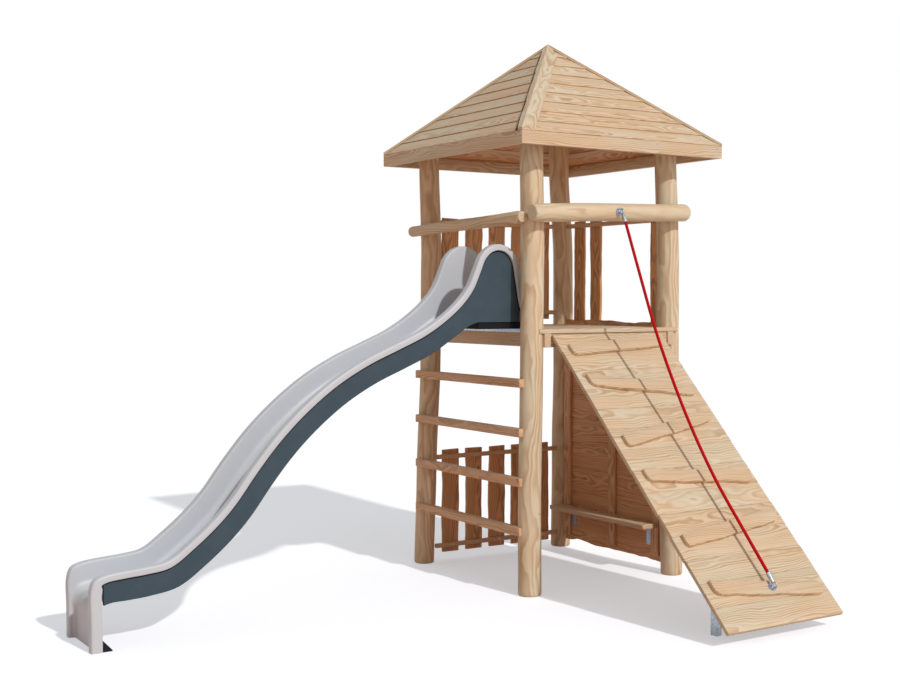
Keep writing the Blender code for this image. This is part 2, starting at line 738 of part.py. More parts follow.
def build_hip_board(name, side, end, phase):
    """A board on one roof side along its hip; end picks the hip at +X or -X of that side's frame."""
    angle, half_depth, half_width = ROOF_SIDES[side]
    slope = roof_slope(half_depth)
    length = math.hypot(half_depth, ROOF_RISE)
    hip = Vector((-half_width, length))
    hip_length = hip.length
    along = hip.normalized()
    inward = Vector((-along.y, along.x))
    corner = Vector((half_width, 0.0))
    places = steps_between(-TRIM_REACH, hip_length + TRIM_REACH, HIP_BOARD_STEP)
    outer = [corner + along * place - inward * TRIM_REACH for place in places]
    inner = []
    for place in reversed(places):
        width = HIP_BOARD_WIDTH + waver(place, phase, HIP_BOARD_WAVE)
        inner.append(corner + along * place + inward * width)
    outline = [(-end * point.x, point.y) for point in outer + inner]
    mesh = prism_mesh(outline, HIP_BOARD_THICKNESS, name)
    lift = CLEARANCE + HIP_BOARD_THICKNESS / 2
    down_slope = Matrix(
        (
            (-1.0, 0.0, 0.0, 0.0),
            (0.0, -math.cos(slope), math.sin(slope), half_depth + lift * math.sin(slope)),
            (0.0, math.sin(slope), math.cos(slope), EAVE_TOP + CLEARANCE + lift * math.cos(slope)),
            (0.0, 0.0, 0.0, 1.0),
        )
    )
    mesh.transform(down_slope)
    clip_to_hips(mesh, half_depth, half_width)
    clip(mesh, (end * CLEARANCE, 0.0, 0.0), (-end, 0.0, 0.0))
    clip(mesh, (0.0, half_depth, 0.0), (0.0, 1.0, 0.0))
    add_object(name, mesh, ROOF_WOOD, turn(angle))


def build_roof():
    for side, (angle, half_depth, half_width) in ROOF_SIDES.items():
        build_roof_panel(side + "_roof_panel", angle, half_depth, half_width)
        build_fascia(side + "_fascia", angle, half_depth, half_width)
    build_hip_board("front_hip_board", "ramp_side", 1, 0.3)
    build_hip_board("left_hip_board", "fence_side", -1, 1.1)
    build_hip_board("right_hip_board", "wall_side", 1, 2.2)
    build_hip_board("back_hip_board", "wall_side", -1, 3.4)


# Picket fences: made standing in the XZ plane, with the pickets' outer face toward +Y
def picket(name, centre, width, bottom, top, phase, matrix):
    heights = steps_between(bottom, top, PICKET_STEP)
    left = [(centre - width / 2 + waver(height, phase, PICKET_WAVE), height) for height in heights]
    right = [(centre + width / 2 + waver(height, phase + 1.6, PICKET_WAVE), height) for height in heights]
    left[-1] = (left[-1][0], top + PICKET_SLANT * math.sin(5.0 * phase))
    mesh = prism_mesh(left + right[::-1], PICKET_THICKNESS, name)
    mesh.transform(upright(PICKET_THICKNESS / 2))
    return add_object(name, mesh, BOARD_WOOD, matrix)


def fence_rail(name, half_length, height, matrix):
    low = Vector((-half_length, -FENCE_RAIL_DEPTH, height - FENCE_RAIL_HEIGHT / 2))
    high = Vector((half_length, JOIN_DEPTH, height + FENCE_RAIL_HEIGHT / 2))
    return block(name, low, high, BOARD_WOOD, frame=matrix)


def fence(name, pickets, ends, rails, half_length, matrix, posts):
    """A panel of pickets and rails in one piece, cut round the posts; ends are its bottom and top."""
    bottom, top = ends
    pieces = []
    for index, (centre, width) in enumerate(pickets):
        phase = 0.8 * index + bottom
        pieces.append(picket(f"{name}_picket_{index + 1}", centre, width, bottom, top, phase, matrix))
    for index, height in enumerate(rails[1:]):
        pieces.append(fence_rail(f"{name}_rail_{index + 2}", half_length, height, matrix))
    panel = fuse(fence_rail(name, half_length, rails[0], matrix), pieces)
    for post in posts:
        cut(panel, post)


def build_fences(post_clearances):
    first = -BACK_FENCE_PITCH * (BACK_FENCE_PICKETS - 1) / 2
    pickets = [(first + BACK_FENCE_PITCH * i, PICKET_WIDTH) for i in range(BACK_FENCE_PICKETS)]
    back = Matrix.Translation((0.0, POST_Y - PICKET_THICKNESS / 2, 0.0))
    posts = (post_clearances["left"], post_clearances["back"])
    ends = (LOWER_FENCE_BOTTOM, LOWER_FENCE_TOP)
    fence("lower_fence", pickets, ends, LOWER_FENCE_RAILS, POST_X, back, posts)
    ends = (UPPER_FENCE_BOTTOM, UPPER_FENCE_TOP)
    fence("upper_fence", pickets, ends, UPPER_FENCE_RAILS, POST_X, back, posts)
    outside = turn(-math.pi / 2, (WALL_FACE + WALL_THICKNESS + CLEARANCE, 0.0, 0.0))
    pickets = [(-centre, width) for centre, width in WALL_FENCE_PICKETS]
    posts = (post_clearances["right"], post_clearances["back"])
    ends = (WALL_FENCE_BOTTOM, UPPER_FENCE_TOP)
    fence("wall_side_fence", pickets, ends, UPPER_FENCE_RAILS[1:], POST_Y, outside, posts)


# Board wall and bench
def build_wall(post_clearances):
    places = steps_between(-WALL_HALF_LENGTH, WALL_HALF_LENGTH, WALL_STEP)
    bottom = [(place, WALL_BOTTOM + waver(2.0 * place, 0.9, WALL_WAVE)) for place in places]
    top = [(place, WALL_TOP + waver(2.0 * place, 2.6, WALL_WAVE)) for place in places]
    mesh = prism_mesh(bottom + top[::-1], WALL_THICKNESS, "board_wall")
    mesh.transform(upright(0.0))
    stand = turn(math.pi / 2, (WALL_FACE + WALL_THICKNESS / 2, 0.0, 0.0))
    wall = add_object("board_wall", mesh, BOARD_WOOD, stand)
    battens = []
    end_batten = WALL_HALF_LENGTH - BATTEN_INSET - BATTEN_WIDTH / 2
    for index, centre in enumerate((-end_batten, MIDDLE_BATTEN_Y, end_batten)):
        low = (BATTEN_FACE, centre - BATTEN_WIDTH / 2, WALL_BOTTOM + BATTEN_RAISE)
        high = (WALL_FACE + JOIN_DEPTH, centre + BATTEN_WIDTH / 2, JOIST_BOTTOM - CLEARANCE)
        battens.append(block(f"wall_batten_{index + 1}", low, high, BOARD_WOOD))
    fuse(wall, battens)
    cut(wall, post_clearances["right"])
    cut(wall, post_clearances["back"])


def build_bench():
    back_edge = BATTEN_FACE - CLEARANCE
    bottom = BENCH_TOP - BENCH_THICKNESS
    low = (back_edge - BENCH_DEPTH, -BENCH_HALF_LENGTH, bottom)
    high = (back_edge, BENCH_HALF_LENGTH, BENCH_TOP)
    block("bench_board", low, high, BOARD_WOOD, BENCH_EDGE)
    wall = WALL_FACE - CLEARANCE
    seat = bottom - CLEARANCE
    outline = (
        (wall, seat - BRACKET_DROP),
        (wall, seat),
        (wall - BRACKET_REACH, seat),
        (wall - BRACKET_REACH, seat - BRACKET_THICKNESS),
        (wall - 2 * BRACKET_THICKNESS, seat - BRACKET_THICKNESS),
        (wall - BRACKET_THICKNESS, seat - 2 * BRACKET_THICKNESS),
        (wall - BRACKET_THICKNESS, seat - BRACKET_DROP),
    )
    for name, side in (("bench_bracket_ramp_end", -1), ("bench_bracket_back_end", 1)):
        mesh = prism_mesh(outline, BRACKET_WIDTH, name)
        add_object(name, mesh, STEEL, upright(side * BRACKET_OFFSET))


# Ramp: its own frame has +Y up the slope, +Z off the boards, and its origin at the top edge
def ramp_frame():
    return Matrix.Translation((0.0, RAMP_TOP_Y, DECK_BOTTOM)) @ Matrix.Rotation(RAMP_ANGLE, 4, "X")


def ramp_direction(angle):
    """A direction turned off the boards by an angle, from straight up the slope."""
    return Vector((0.0, math.cos(RAMP_ANGLE + angle), math.sin(RAMP_ANGLE + angle)))


def clip_to_beam(mesh):
    """Trim a ramp piece, in the ramp's frame, where it meets the front beam and the deck."""
    into_frame = ramp_frame().inverted()
    turned = into_frame.to_3x3()
    beam_face = (0.0, -(DECK_HALF_Y - BEAM_SETBACK) - CLEARANCE, 0.0)
    clip(mesh, into_frame @ Vector(beam_face), turned @ Vector((0.0, 1.0, 0.0)))
    clip(mesh, into_frame @ Vector((0.0, 0.0, JOIST_TOP)), turned @ Vector((0.0, 0.0, 1.0)))


def build_ramp_boards():
    places = steps_between(TRIM_REACH, -RAMP_LENGTH, RAMP_STEP)
    left = [(RAMP_LEFT + waver(2.0 * place, 0.5, RAMP_WAVE), place) for place in places]
    right = [(RAMP_RIGHT + waver(2.0 * place, 1.4, RAMP_WAVE), place) for place in places]
    mesh = prism_mesh(left + right[::-1], RAMP_THICKNESS, "ramp_boards")
    mesh.transform(Matrix.Translation((0.0, 0.0, -RAMP_THICKNESS / 2)))
    clip_to_beam(mesh)
    add_object("ramp_boards", mesh, BOARD_WOOD, ramp_frame())


def build_stringers():
    for name, centre in zip(("ramp_stringer_left", "ramp_stringer_right"), STRINGER_CENTRES):
        bm = bmesh.new()
        bmesh.ops.create_cube(bm, size=1.0)
        foot = -RAMP_LENGTH + STRINGER_SETBACK
        bmesh.ops.scale(bm, vec=(STRINGER_WIDTH, TRIM_REACH - foot, STRINGER_THICKNESS), verts=bm.verts)
        depth = RAMP_THICKNESS + CLEARANCE + STRINGER_THICKNESS / 2
        bmesh.ops.translate(bm, vec=(centre, (foot + TRIM_REACH) / 2, -depth), verts=bm.verts)
        mesh = mesh_from(bm, name)
        clip_to_beam(mesh)
        stringer = add_object(name, mesh, BOARD_WOOD, ramp_frame())
        bevel(stringer, STRINGER_EDGE)


def build_ramp_feet():
    under = RAMP_THICKNESS + STRINGER_THICKNESS + 2 * CLEARANCE
    place = ramp_frame() @ Vector((0.0, RAMP_FOOT_SETBACK - RAMP_LENGTH, -under))
    off_boards = ramp_direction(math.pi / 2)
    for name, centre in zip(("ramp_foot_left", "ramp_foot_right"), STRINGER_CENTRES):
        bm = bmesh.new()
        bmesh.ops.create_cube(bm, size=1.0)
        height = place.z + 2 * RAMP_FOOT_SIZE
        bmesh.ops.scale(bm, vec=(RAMP_FOOT_SIZE, RAMP_FOOT_SIZE, height), verts=bm.verts)
        bmesh.ops.translate(bm, vec=(0.0, 0.0, height / 2), verts=bm.verts)
        mesh = mesh_from(bm, name)
        clip(mesh, (0.0, 0.0, place.z), off_boards)
        foot = add_object(name, mesh, STEEL, Matrix.Translation((centre, place.y, 0.0)))
        bevel(foot, RAMP_FOOT_EDGE)


def cleat_lower_edge(drops, x):
    """A cleat's lower edge at x: the parabola through its left end, middle and right end."""
    share = (x - CLEAT_LEFT) / (CLEAT_RIGHT - CLEAT_LEFT)
    left, middle, right = drops
    ends = left * (1 - share) * (1 - 2 * share) + right * share * (2 * share - 1)
    return ends + 4 * middle * share * (1 - share)


def build_cleats():
    for index, drops in enumerate(CLEATS):
        name = f"ramp_cleat_{index + 1}"
        places = steps_between(CLEAT_LEFT, CLEAT_RIGHT, CLEAT_STEP)
        lower = [(x, -cleat_lower_edge(drops, x)) for x in places]
        upper = [(x, y + CLEAT_WIDTH + waver(3.0 * x, index, CLEAT_WAVE)) for x, y in lower]
        mesh = prism_mesh(lower + upper[::-1], CLEAT_THICKNESS, name)
        mesh.transform(Matrix.Translation((0.0, 0.0, CLEARANCE + CLEAT_THICKNESS / 2)))
        cleat = add_object(name, mesh, BOARD_WOOD, ramp_frame())
        bevel(cleat, CLEAT_EDGE)


# Climbing rope
def smooth_line(points, subdivisions):
    """Points along a smooth curve through the given points, which may have two or three values each."""
    points = [Vector(point) for point in points]
    ends = [2 * points[0] - points[1]] + points + [2 * points[-1] - points[-2]]
    line = []
    for i in range(1, len(ends) - 2):
        before, start, end, after = ends[i - 1 : i + 3]
        knots = [0.0]
        for first, second in ((before, start), (start, end), (end, after)):
            knots.append(knots[-1] + math.sqrt((second - first).length))
        for step in range(subdivisions):
            t = knots[1] + (knots[2] - knots[1]) * step / subdivisions
            a = before.lerp(start, (t - knots[0]) / (knots[1] - knots[0]))
            b = start.lerp(end, (t - knots[1]) / (knots[2] - knots[1]))
            c = end.lerp(after, (t - knots[2]) / (knots[3] - knots[2]))
            d = a.lerp(b, (t - knots[0]) / (knots[2] - knots[0]))
            e = b.lerp(c, (t - knots[1]) / (knots[3] - knots[1]))
            line.append(d.lerp(e, (t - knots[1]) / (knots[2] - knots[1])))
    line.append(points[-1])
    return line


def eye_fitting(name, seat, normal, pull):
    """A round plate with a standing eye and a ferrule that points along the pull; returns the rope's end."""
    bm = bmesh.new()
    radius = EYE_PLATE_DIAMETER / 2
    bmesh.ops.create_cone(
        bm, cap_ends=True, segments=20, radius1=radius, radius2=radius, depth=EYE_PLATE_THICKNESS
    )
    plate_middle = seat + normal * (CLEARANCE + EYE_PLATE_THICKNESS / 2)
    facing = normal.to_track_quat("Z", "X").to_matrix().to_4x4()
    plate = add_object(name, mesh_from(bm, name), STEEL, Matrix.Translation(plate_middle) @ facing)
    ring_middle = plate_middle + normal * (EYE_RING_RADIUS + EYE_WIRE_DIAMETER / 2)
    bpy.ops.mesh.primitive_torus_add(
        major_segments=16,
        minor_segments=8,
        major_radius=EYE_RING_RADIUS,
        minor_radius=EYE_WIRE_DIAMETER / 2,
        rotation=(0.0, math.pi / 2, 0.0),
        location=ring_middle,
    )
    ring = bpy.context.active_object
    for collection in list(ring.users_collection):
        collection.objects.unlink(ring)
    PARTS.objects.link(ring)
    ring.parent = TOWER
    ring.name = name + "_ring"
    bm = bmesh.new()
    radius = FERRULE_DIAMETER / 2
    bmesh.ops.create_cone(
        bm, cap_ends=True, segments=12, radius1=radius * FERRULE_TAPER, radius2=radius, depth=FERRULE_LENGTH
    )
    ferrule_middle = ring_middle + pull * (EYE_RING_RADIUS + FERRULE_LENGTH / 2)
    pointing = pull.to_track_quat("Z", "X").to_matrix().to_4x4()
    place = Matrix.Translation(ferrule_middle) @ pointing
    ferrule = add_object(name + "_ferrule", mesh_from(bm, name + "_ferrule"), STEEL, place)
    fuse(plate, [ring, ferrule])
    return ferrule_middle + pull * (FERRULE_LENGTH / 2 + CLEARANCE)


def build_rope():
    rail_front = ramp_rail_axis(ROPE_X) - Vector((0.0, RAMP_RAIL_RADIUS + LOG_RIPPLE + CLEARANCE, 0.0))
    down = Vector((0.0, -math.cos(TOP_FERRULE_DROP), -math.sin(TOP_FERRULE_DROP)))
    top_end = eye_fitting("rope_top_fitting", rail_front, Vector((0.0, -1.0, 0.0)), down)
    anchor = ramp_frame() @ Vector((ROPE_X, -ROPE_ANCHOR_DROP, CLEAT_THICKNESS + CLEARANCE))
    off_boards = ramp_direction(math.pi / 2)
    up = ramp_direction(FOOT_FERRULE_LIFT)
    foot_end = eye_fitting("rope_bottom_fitting", anchor, off_boards, up)
    route = smooth_line((top_end + down * ROPE_LEAD, *ROPE_ROUTE, foot_end + up * ROPE_LEAD), 12)
    length = sum((b - a).length for a, b in zip(route, route[1:]))
    count = round(length / ROPE_STEP)
    points = [top_end]
    walked = 0.0
    for a, b in zip(route, route[1:]):
        stretch = (b - a).length
        while walked <= stretch and len(points) <= count + 1:
            points.append(a.lerp(b, walked / stretch))
            walked += length / count
        walked -= stretch
    points[-1] = route[-1]
    points.append(foot_end)
    radii = [ROPE_DIAMETER / 2] * len(points)
    add_object("climbing_rope", tube_mesh(points, radii, 8, "climbing_rope"), ROPE_FIBRE)


# Slide
def slide_frame():
    return turn(math.pi, (-DECK_HALF_X, SLIDE_CENTRE_Y, 0.0))


def rim_stations():
    """The lip's top line from the deck to the ground, one point for each section of the loft."""
    hoop = [(x, SEAT_HEIGHT + rise) for x, rise in HOOP]
    start_x, start_z = hoop[-1]
    end_x = SLIDE_REACH - RUN_OUT[0][0]
    run = end_x - start_x
    drop = start_z - RUN_OUT_RIM
    slope = [(start_x + run * along, start_z - drop * down) for along, down in SLOPE]
    run_out = [(SLIDE_REACH - back, height) for back, height in RUN_OUT]
    return hoop + slope + run_out


def bed_stations(rim):
    """The bed's line: the flat seat, then a constant depth under the lip, then the front apron."""
    normals = inward_normals([Vector(point) for point in rim])
    seat_count = len(HOOP) - 1
    seat_start = HOOP[0][0]
    bed = []
    for i in range(seat_count):
        bed.append((seat_start + (SEAT_FLAT - seat_start) * i / (seat_count - 1), SEAT_HEIGHT))
    bed.append((SEAT_NOSE[0], SEAT_HEIGHT + SEAT_NOSE[1]))
    sloping = len(rim) - FRONT_STATIONS
    for i in range(seat_count + 1, sloping):
        point = Vector(rim[i]) + normals[i] * CHUTE_DEPTH
        bed.append((point.x, point.y))
    apron = SLIDE_REACH - APRON_RECESS
    turn_height = bed[-1][1]
    bed += [(apron - back, turn_height - drop) for back, drop in APRON_TURN]
    bed.append((apron, turn_height / 2))
    bed.append((apron, 0.0))
    return bed


def inward_normals(line):
    """Unit normals of a line in the slide's XZ plane, on the side of the bed."""
    normals = []
    for i in range(len(line)):
        tangent = (line[min(i + 1, len(line) - 1)] - line[max(i - 1, 0)]).normalized()
        normals.append(Vector((tangent.y, -tangent.x)))
    return normals


def chute_section(rim, inward, bed, lip_depth):
    """One closed section of the chute as points (x, y, z): inner face, lip and outer face."""
    wall_in = SLIDE_WIDTH / 2 - LIP_WIDTH
    wall_out = wall_in + BED_THICKNESS
    edge = SLIDE_WIDTH / 2
    up = (rim - bed).normalized()
    height = (rim - bed).length
    fillet = min(BED_FILLET, 0.8 * (height - LIP_ROUND))
    outer_start = max(0.0, min(fillet, height - lip_depth - LEAST_WALL))
    half = []
    for k in range(4):
        angle = math.pi / 2 * k / 3
        half.append((wall_in - fillet + fillet * math.sin(angle), bed + up * fillet * (1 - math.cos(angle))))
    half.append((wall_in, rim + inward * LIP_ROUND))
    for k in range(1, 3):
        angle = math.pi / 2 * k / 2
        lift = LIP_ROUND * (1 - math.sin(angle))
        half.append((wall_in + LIP_ROUND * (1 - math.cos(angle)), rim + inward * lift))
    for k in range(3):
        angle = math.pi / 2 * k / 2
        drop = LIP_ROUND * (1 - math.cos(angle))
        half.append((edge - LIP_ROUND + LIP_ROUND * math.sin(angle), rim + inward * drop))
    half.append((edge, rim + inward * (lip_depth - LIP_ROUND / 2)))
    half.append((edge - LIP_ROUND / 2, rim + inward * lip_depth))
    half.append((wall_out, rim + inward * lip_depth))
    half.append((wall_out, bed + up * outer_start))
    half.append((wall_out - 0.3 * fillet, bed + up * (0.3 * outer_start - 0.7 * BED_THICKNESS)))
    half.append((wall_in - fillet, bed - up * BED_THICKNESS))
    ring = [(point.x, y, point.y) for y, point in half]
    ring += [(point.x, -y, point.y) for y, point in reversed(half)]
    return ring


def loft(rings):
    """A closed body through rings of equally many points, with flat ends."""
    bm = bmesh.new()
    rows = [[bm.verts.new(point) for point in ring] for ring in rings]
    count = len(rows[0])
    for row, following in zip(rows, rows[1:]):
        for k in range(count):
            bm.faces.new((row[k], row[(k + 1) % count], following[(k + 1) % count], following[k]))
    bm.faces.new(rows[0][::-1])
    bm.faces.new(rows[-1])
    return bm


def slide_lines():
    """Matched points along the rim and the bed, with the rim's inward normals and the lip's depth."""
    stations = rim_stations()
    bed = smooth_line(bed_stations(stations), 2)
    rim = smooth_line(stations, 2)
    normals = inward_normals(rim)
    downward = Vector((0.0, -1.0))
    for i in range(4):
        normals[i] = downward.lerp(normals[i], i / 4).normalized()
    for line in (rim, bed):
        line[-1].y = 0.0
    normals[-1] = Vector((-1.0, 0.0))
    leg_start = 2 * (len(stations) - FRONT_STATIONS)
    depths = []
    for i in range(len(rim)):
        share = min(1.0, max(0.0, (i - leg_start) / 4))
        depths.append(LIP_DEPTH + (LEG_DEPTH - LIP_DEPTH) * share)
    return rim, normals, bed, depths


def build_chute():
    rings = [chute_section(*station) for station in zip(*slide_lines())]
    bm = loft(rings)
    mesh = mesh_from(bm, "slide_chute")
    smooth(mesh, 50.0)
    add_object("slide_chute", mesh, CHUTE_PLASTIC, slide_frame())


def side_panel_outline():
    """The outline from the hoop's foot along under the lip to the front, and back under the bed."""
    rim, normals, bed, depths = slide_lines()
    front = SLIDE_REACH - SIDE_PANEL_FRONT
    hoop_foot = HOOP[0][0] + LIP_DEPTH + SIDE_PANEL_TOP_GAP
    top = [Vector((hoop_foot, SEAT_BASE_TOP + CLEARANCE))]
    bottom = []
    for top_point, inward, bed_point in zip(rim, normals, bed):
        upper = top_point + inward * (LIP_DEPTH + SIDE_PANEL_TOP_GAP)
        beyond_foot = upper.y > SEAT_HEIGHT + SIDE_PANEL_RISE or upper.x > SEAT_FLAT
        if beyond_foot and upper.x < front - GUSSET_TOE and upper.y > SIDE_PANEL_FOOT:
            top.append(upper)
        lower = bed_point - (top_point - bed_point).normalized() * BED_THICKNESS
        if hoop_foot + SIDE_PANEL_THICKNESS < lower.x < front and lower.y > SIDE_PANEL_FOOT:
            bottom.append(lower)
    top.append(Vector((front, top[-1].y - SIDE_PANEL_TOP_GAP / 2)))
    bottom.append(Vector((front, bottom[-1].y)))
    return top + bottom[::-1]


def build_side_panels():
    outline = side_panel_outline()
    overhang = LIP_WIDTH - BED_THICKNESS - CLEARANCE - SIDE_PANEL_THICKNESS
    middle = SLIDE_WIDTH / 2 - overhang - SIDE_PANEL_THICKNESS / 2
    for name, side in (("slide_side_panel_near", 1), ("slide_side_panel_far", -1)):
        mesh = prism_mesh(outline, SIDE_PANEL_THICKNESS, name)
        mesh.transform(upright(side * middle))
        add_object(name, mesh, PANEL_PLASTIC, slide_frame())


def build_seat_base():
    low = (-DECK_HALF_X - SEAT_BASE_OUT, SLIDE_CENTRE_Y - SEAT_BASE_WIDTH / 2, SEAT_BASE_BOTTOM)
    high = (-DECK_HALF_X + SEAT_BASE_IN, SLIDE_CENTRE_Y + SEAT_BASE_WIDTH / 2, SEAT_BASE_TOP)
    block("slide_seat_base", low, high, BASE_PLASTIC, SEAT_BASE_EDGE)


def build_gussets():
    back = SLIDE_REACH - LEG_DEPTH - CLEARANCE
    toe = back - GUSSET_LENGTH
    outline = ((back, 0.0), (back, GUSSET_HEIGHT), (toe, GUSSET_TOE), (toe, 0.0))
    middle = SLIDE_WIDTH / 2 - LIP_WIDTH / 2
    for name, side in (("slide_gusset_near", 1), ("slide_gusset_far", -1)):
        mesh = prism_mesh(outline, GUSSET_THICKNESS, name)
        mesh.transform(upright(side * middle))
        add_object(name, mesh, BASE_PLASTIC, slide_frame())


def centre_footprint():
    """Move the tower so that the middle of everything's footprint is over the origin."""
    bpy.context.view_layer.update()
    graph = bpy.context.evaluated_depsgraph_get()
    corners = []
    for piece in PARTS.objects:
        if piece.type == "MESH":
            evaluated = piece.evaluated_get(graph)
            corners += [evaluated.matrix_world @ Vector(corner) for corner in evaluated.bound_box]
    for axis in (0, 1):
        values = [corner[axis] for corner in corners]
        TOWER.location[axis] = -(min(values) + max(values)) / 2


def main():
    post_clearances = build_posts()
    build_deck()
    build_rungs()
    build_log_rails(post_clearances)
    build_roof()
    build_fences(post_clearances)
    build_wall(post_clearances)
    build_bench()
    build_ramp_boards()
    build_stringers()
    build_ramp_feet()
    build_cleats()
    build_rope()
    build_chute()
    build_side_panels()
    build_seat_base()
    build_gussets()
    centre_footprint()


main()
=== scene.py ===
import math

import bmesh
import bpy
from bpy.props import FloatProperty, FloatVectorProperty, IntProperty, PointerProperty
from mathutils import Matrix, Vector, noise


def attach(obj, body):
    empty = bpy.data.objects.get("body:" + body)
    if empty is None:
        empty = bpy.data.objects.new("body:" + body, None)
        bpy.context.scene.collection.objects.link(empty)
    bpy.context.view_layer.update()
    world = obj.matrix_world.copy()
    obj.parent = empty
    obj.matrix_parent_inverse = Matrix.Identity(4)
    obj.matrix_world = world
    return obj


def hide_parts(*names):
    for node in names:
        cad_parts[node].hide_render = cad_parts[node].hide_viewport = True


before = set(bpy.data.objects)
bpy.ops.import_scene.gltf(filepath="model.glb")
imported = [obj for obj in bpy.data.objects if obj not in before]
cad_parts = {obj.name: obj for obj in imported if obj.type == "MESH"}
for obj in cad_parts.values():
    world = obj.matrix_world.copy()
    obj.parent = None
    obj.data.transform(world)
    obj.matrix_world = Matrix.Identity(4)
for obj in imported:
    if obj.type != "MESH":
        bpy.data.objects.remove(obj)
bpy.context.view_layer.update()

bl_info = {
    "name": "Play tower with slide",
    "version": (1, 0, 0),
    "blender": (4, 5, 0),
    "location": "3D View > Sidebar > Play Tower",
    "description": "Dresses a log play tower with a slide, a climbing ramp and a rope",
    "category": "Add Mesh",
}

TOWER = Matrix.Translation((1.1219, 0.62325, 0.0))

DECK_TOP = 1.484
DECK_BOTTOM = 1.460
EAVE_X = 0.7246
EAVE_Y = 0.7415
EAVE_TOP = 2.5488
ROOF_RISE = 0.6266
POST_X = 0.5313
POST_Y = 0.5449
POST_RADII = {"front_post": 0.065, "right_post": 0.065, "back_post": 0.065, "left_post": 0.0625}
# The natural bow of each log: offsets along BOW_DIRECTION at even steps from the ground up
POST_BOWS = {
    "front_post": (0.0055, 0.0005, 0.0048, 0.0035, -0.0070),
    "right_post": (-0.0025, -0.0120, -0.0150, -0.0080, -0.0185),
    "back_post": (-0.0080, 0.0020, 0.0150, 0.0155, -0.0110),
    "left_post": (-0.0150, -0.0080, 0.0065, 0.0010, -0.0200),
}
BOW_DIRECTION = Vector((0.843, -0.538, 0.0))
BOW_STEP = 0.6496
RAMP_ANGLE = math.radians(45.0)
RAMP_FRAME = Matrix.Translation((0.0, -0.606, DECK_BOTTOM)) @ Matrix.Rotation(RAMP_ANGLE, 4, "X")
RAMP_LENGTH = (DECK_BOTTOM - 0.078) / math.sin(RAMP_ANGLE)
RAMP_SIDES = (-0.420, 0.370)
ALONG_X = (1.0, 0.0, 0.0)
ALONG_Y = (0.0, 1.0, 0.0)
UPWARD = (0.0, 0.0, 1.0)
# Room left between pieces that lie against each other
CLEARANCE = 0.0003
# Corners closer than this are one corner
SAME_POINT = 0.00002
# How far apart in their shared log the pieces are cut, so that no two show the same grain
LOG_APART = 7.31


def colour(red, green, blue):
    """A display colour, 0 to 255, as the linear values that a shader takes."""
    values = []
    for part in (red, green, blue):
        share = part / 255
        values.append(share / 12.92 if share <= 0.04045 else ((share + 0.055) / 1.055) ** 2.4)
    return tuple(values)


def colour_property(name, description, display):
    return FloatVectorProperty(
        name=name, description=description, default=colour(*display), subtype="COLOR", min=0.0, max=1.0
    )


class TowerWoodwork(bpy.types.PropertyGroup):
    log_step: FloatProperty(
        name="Log step", description="Distance between a log's rings", default=0.03, unit="LENGTH"
    )
    log_sides: IntProperty(name="Log sides", description="Faces round a log", default=48, min=16)
    eased_edge: FloatProperty(
        name="Eased edge", description="Rounding along a board's edges", default=0.0028, unit="LENGTH"
    )
    board_step: FloatProperty(
        name="Board step", description="Distance between a board's sections", default=0.02, unit="LENGTH"
    )
    roof_courses: IntProperty(name="Roof courses", description="Boards on each roof side", default=9, min=3)
    ramp_planks: IntProperty(name="Ramp planks", description="Boards across the ramp", default=14, min=4)
    ring_width: FloatProperty(
        name="Year ring", description="Distance between two year rings", default=0.0092, unit="LENGTH"
    )
    pale_wood: colour_property("Pale wood", "Early wood on the planed faces", (214, 203, 179))
    log_pale: colour_property("Pale log", "Early wood under the bark of the logs", (218, 211, 186))
    ring_wood: colour_property("Ring wood", "Late wood in the year rings", (180, 145, 102))
    # Heart wood also serves as painted shade: the higher a piece's tone value, the more its colour moves toward this
    # one, standing in for the shade it sits in.
    heart_and_shade_wood: colour_property("Heart wood", "Deeper tone of the sheltered boards", (226, 154, 92))


class TowerFinishes(bpy.types.PropertyGroup):
    chute_grey: colour_property("Chute grey", "Moulded slide", (197, 202, 209))
    panel_slate: colour_property("Panel slate", "Slide's side panels", (61, 77, 88))
    base_black: colour_property("Base black", "Seat base and foot brackets", (18, 19, 22))
    rope_red: colour_property("Rope red", "Climbing rope", (200, 0, 16))
    steel_grey: colour_property("Steel grey", "Zinc on plates, eyes and feet", (176, 183, 192))
    rope_pitch: FloatProperty(
        name="Rope pitch", description="Length of one turn of a strand", default=0.05, unit="LENGTH"
    )


class TowerStage(bpy.types.PropertyGroup):
    focal_length: FloatProperty(name="Focal length", description="Camera lens in millimetres", default=52.43)
    eye_height: FloatProperty(name="Eye height", description="Camera over the floor", default=1.65, unit="LENGTH")
    heading: FloatProperty(
        name="Heading", description="Camera's turn from +Y toward +X", default=math.radians(32.533), subtype="ANGLE"
    )
    tilt: FloatProperty(
        name="Tilt", description="Camera's tilt upward", default=math.radians(-2.222), subtype="ANGLE"
    )
    sun_strength: FloatProperty(name="Sun strength", description="Key light", default=1.95)
    sky_strength: FloatProperty(name="Sky strength", description="Soft light from all round", default=0.37)


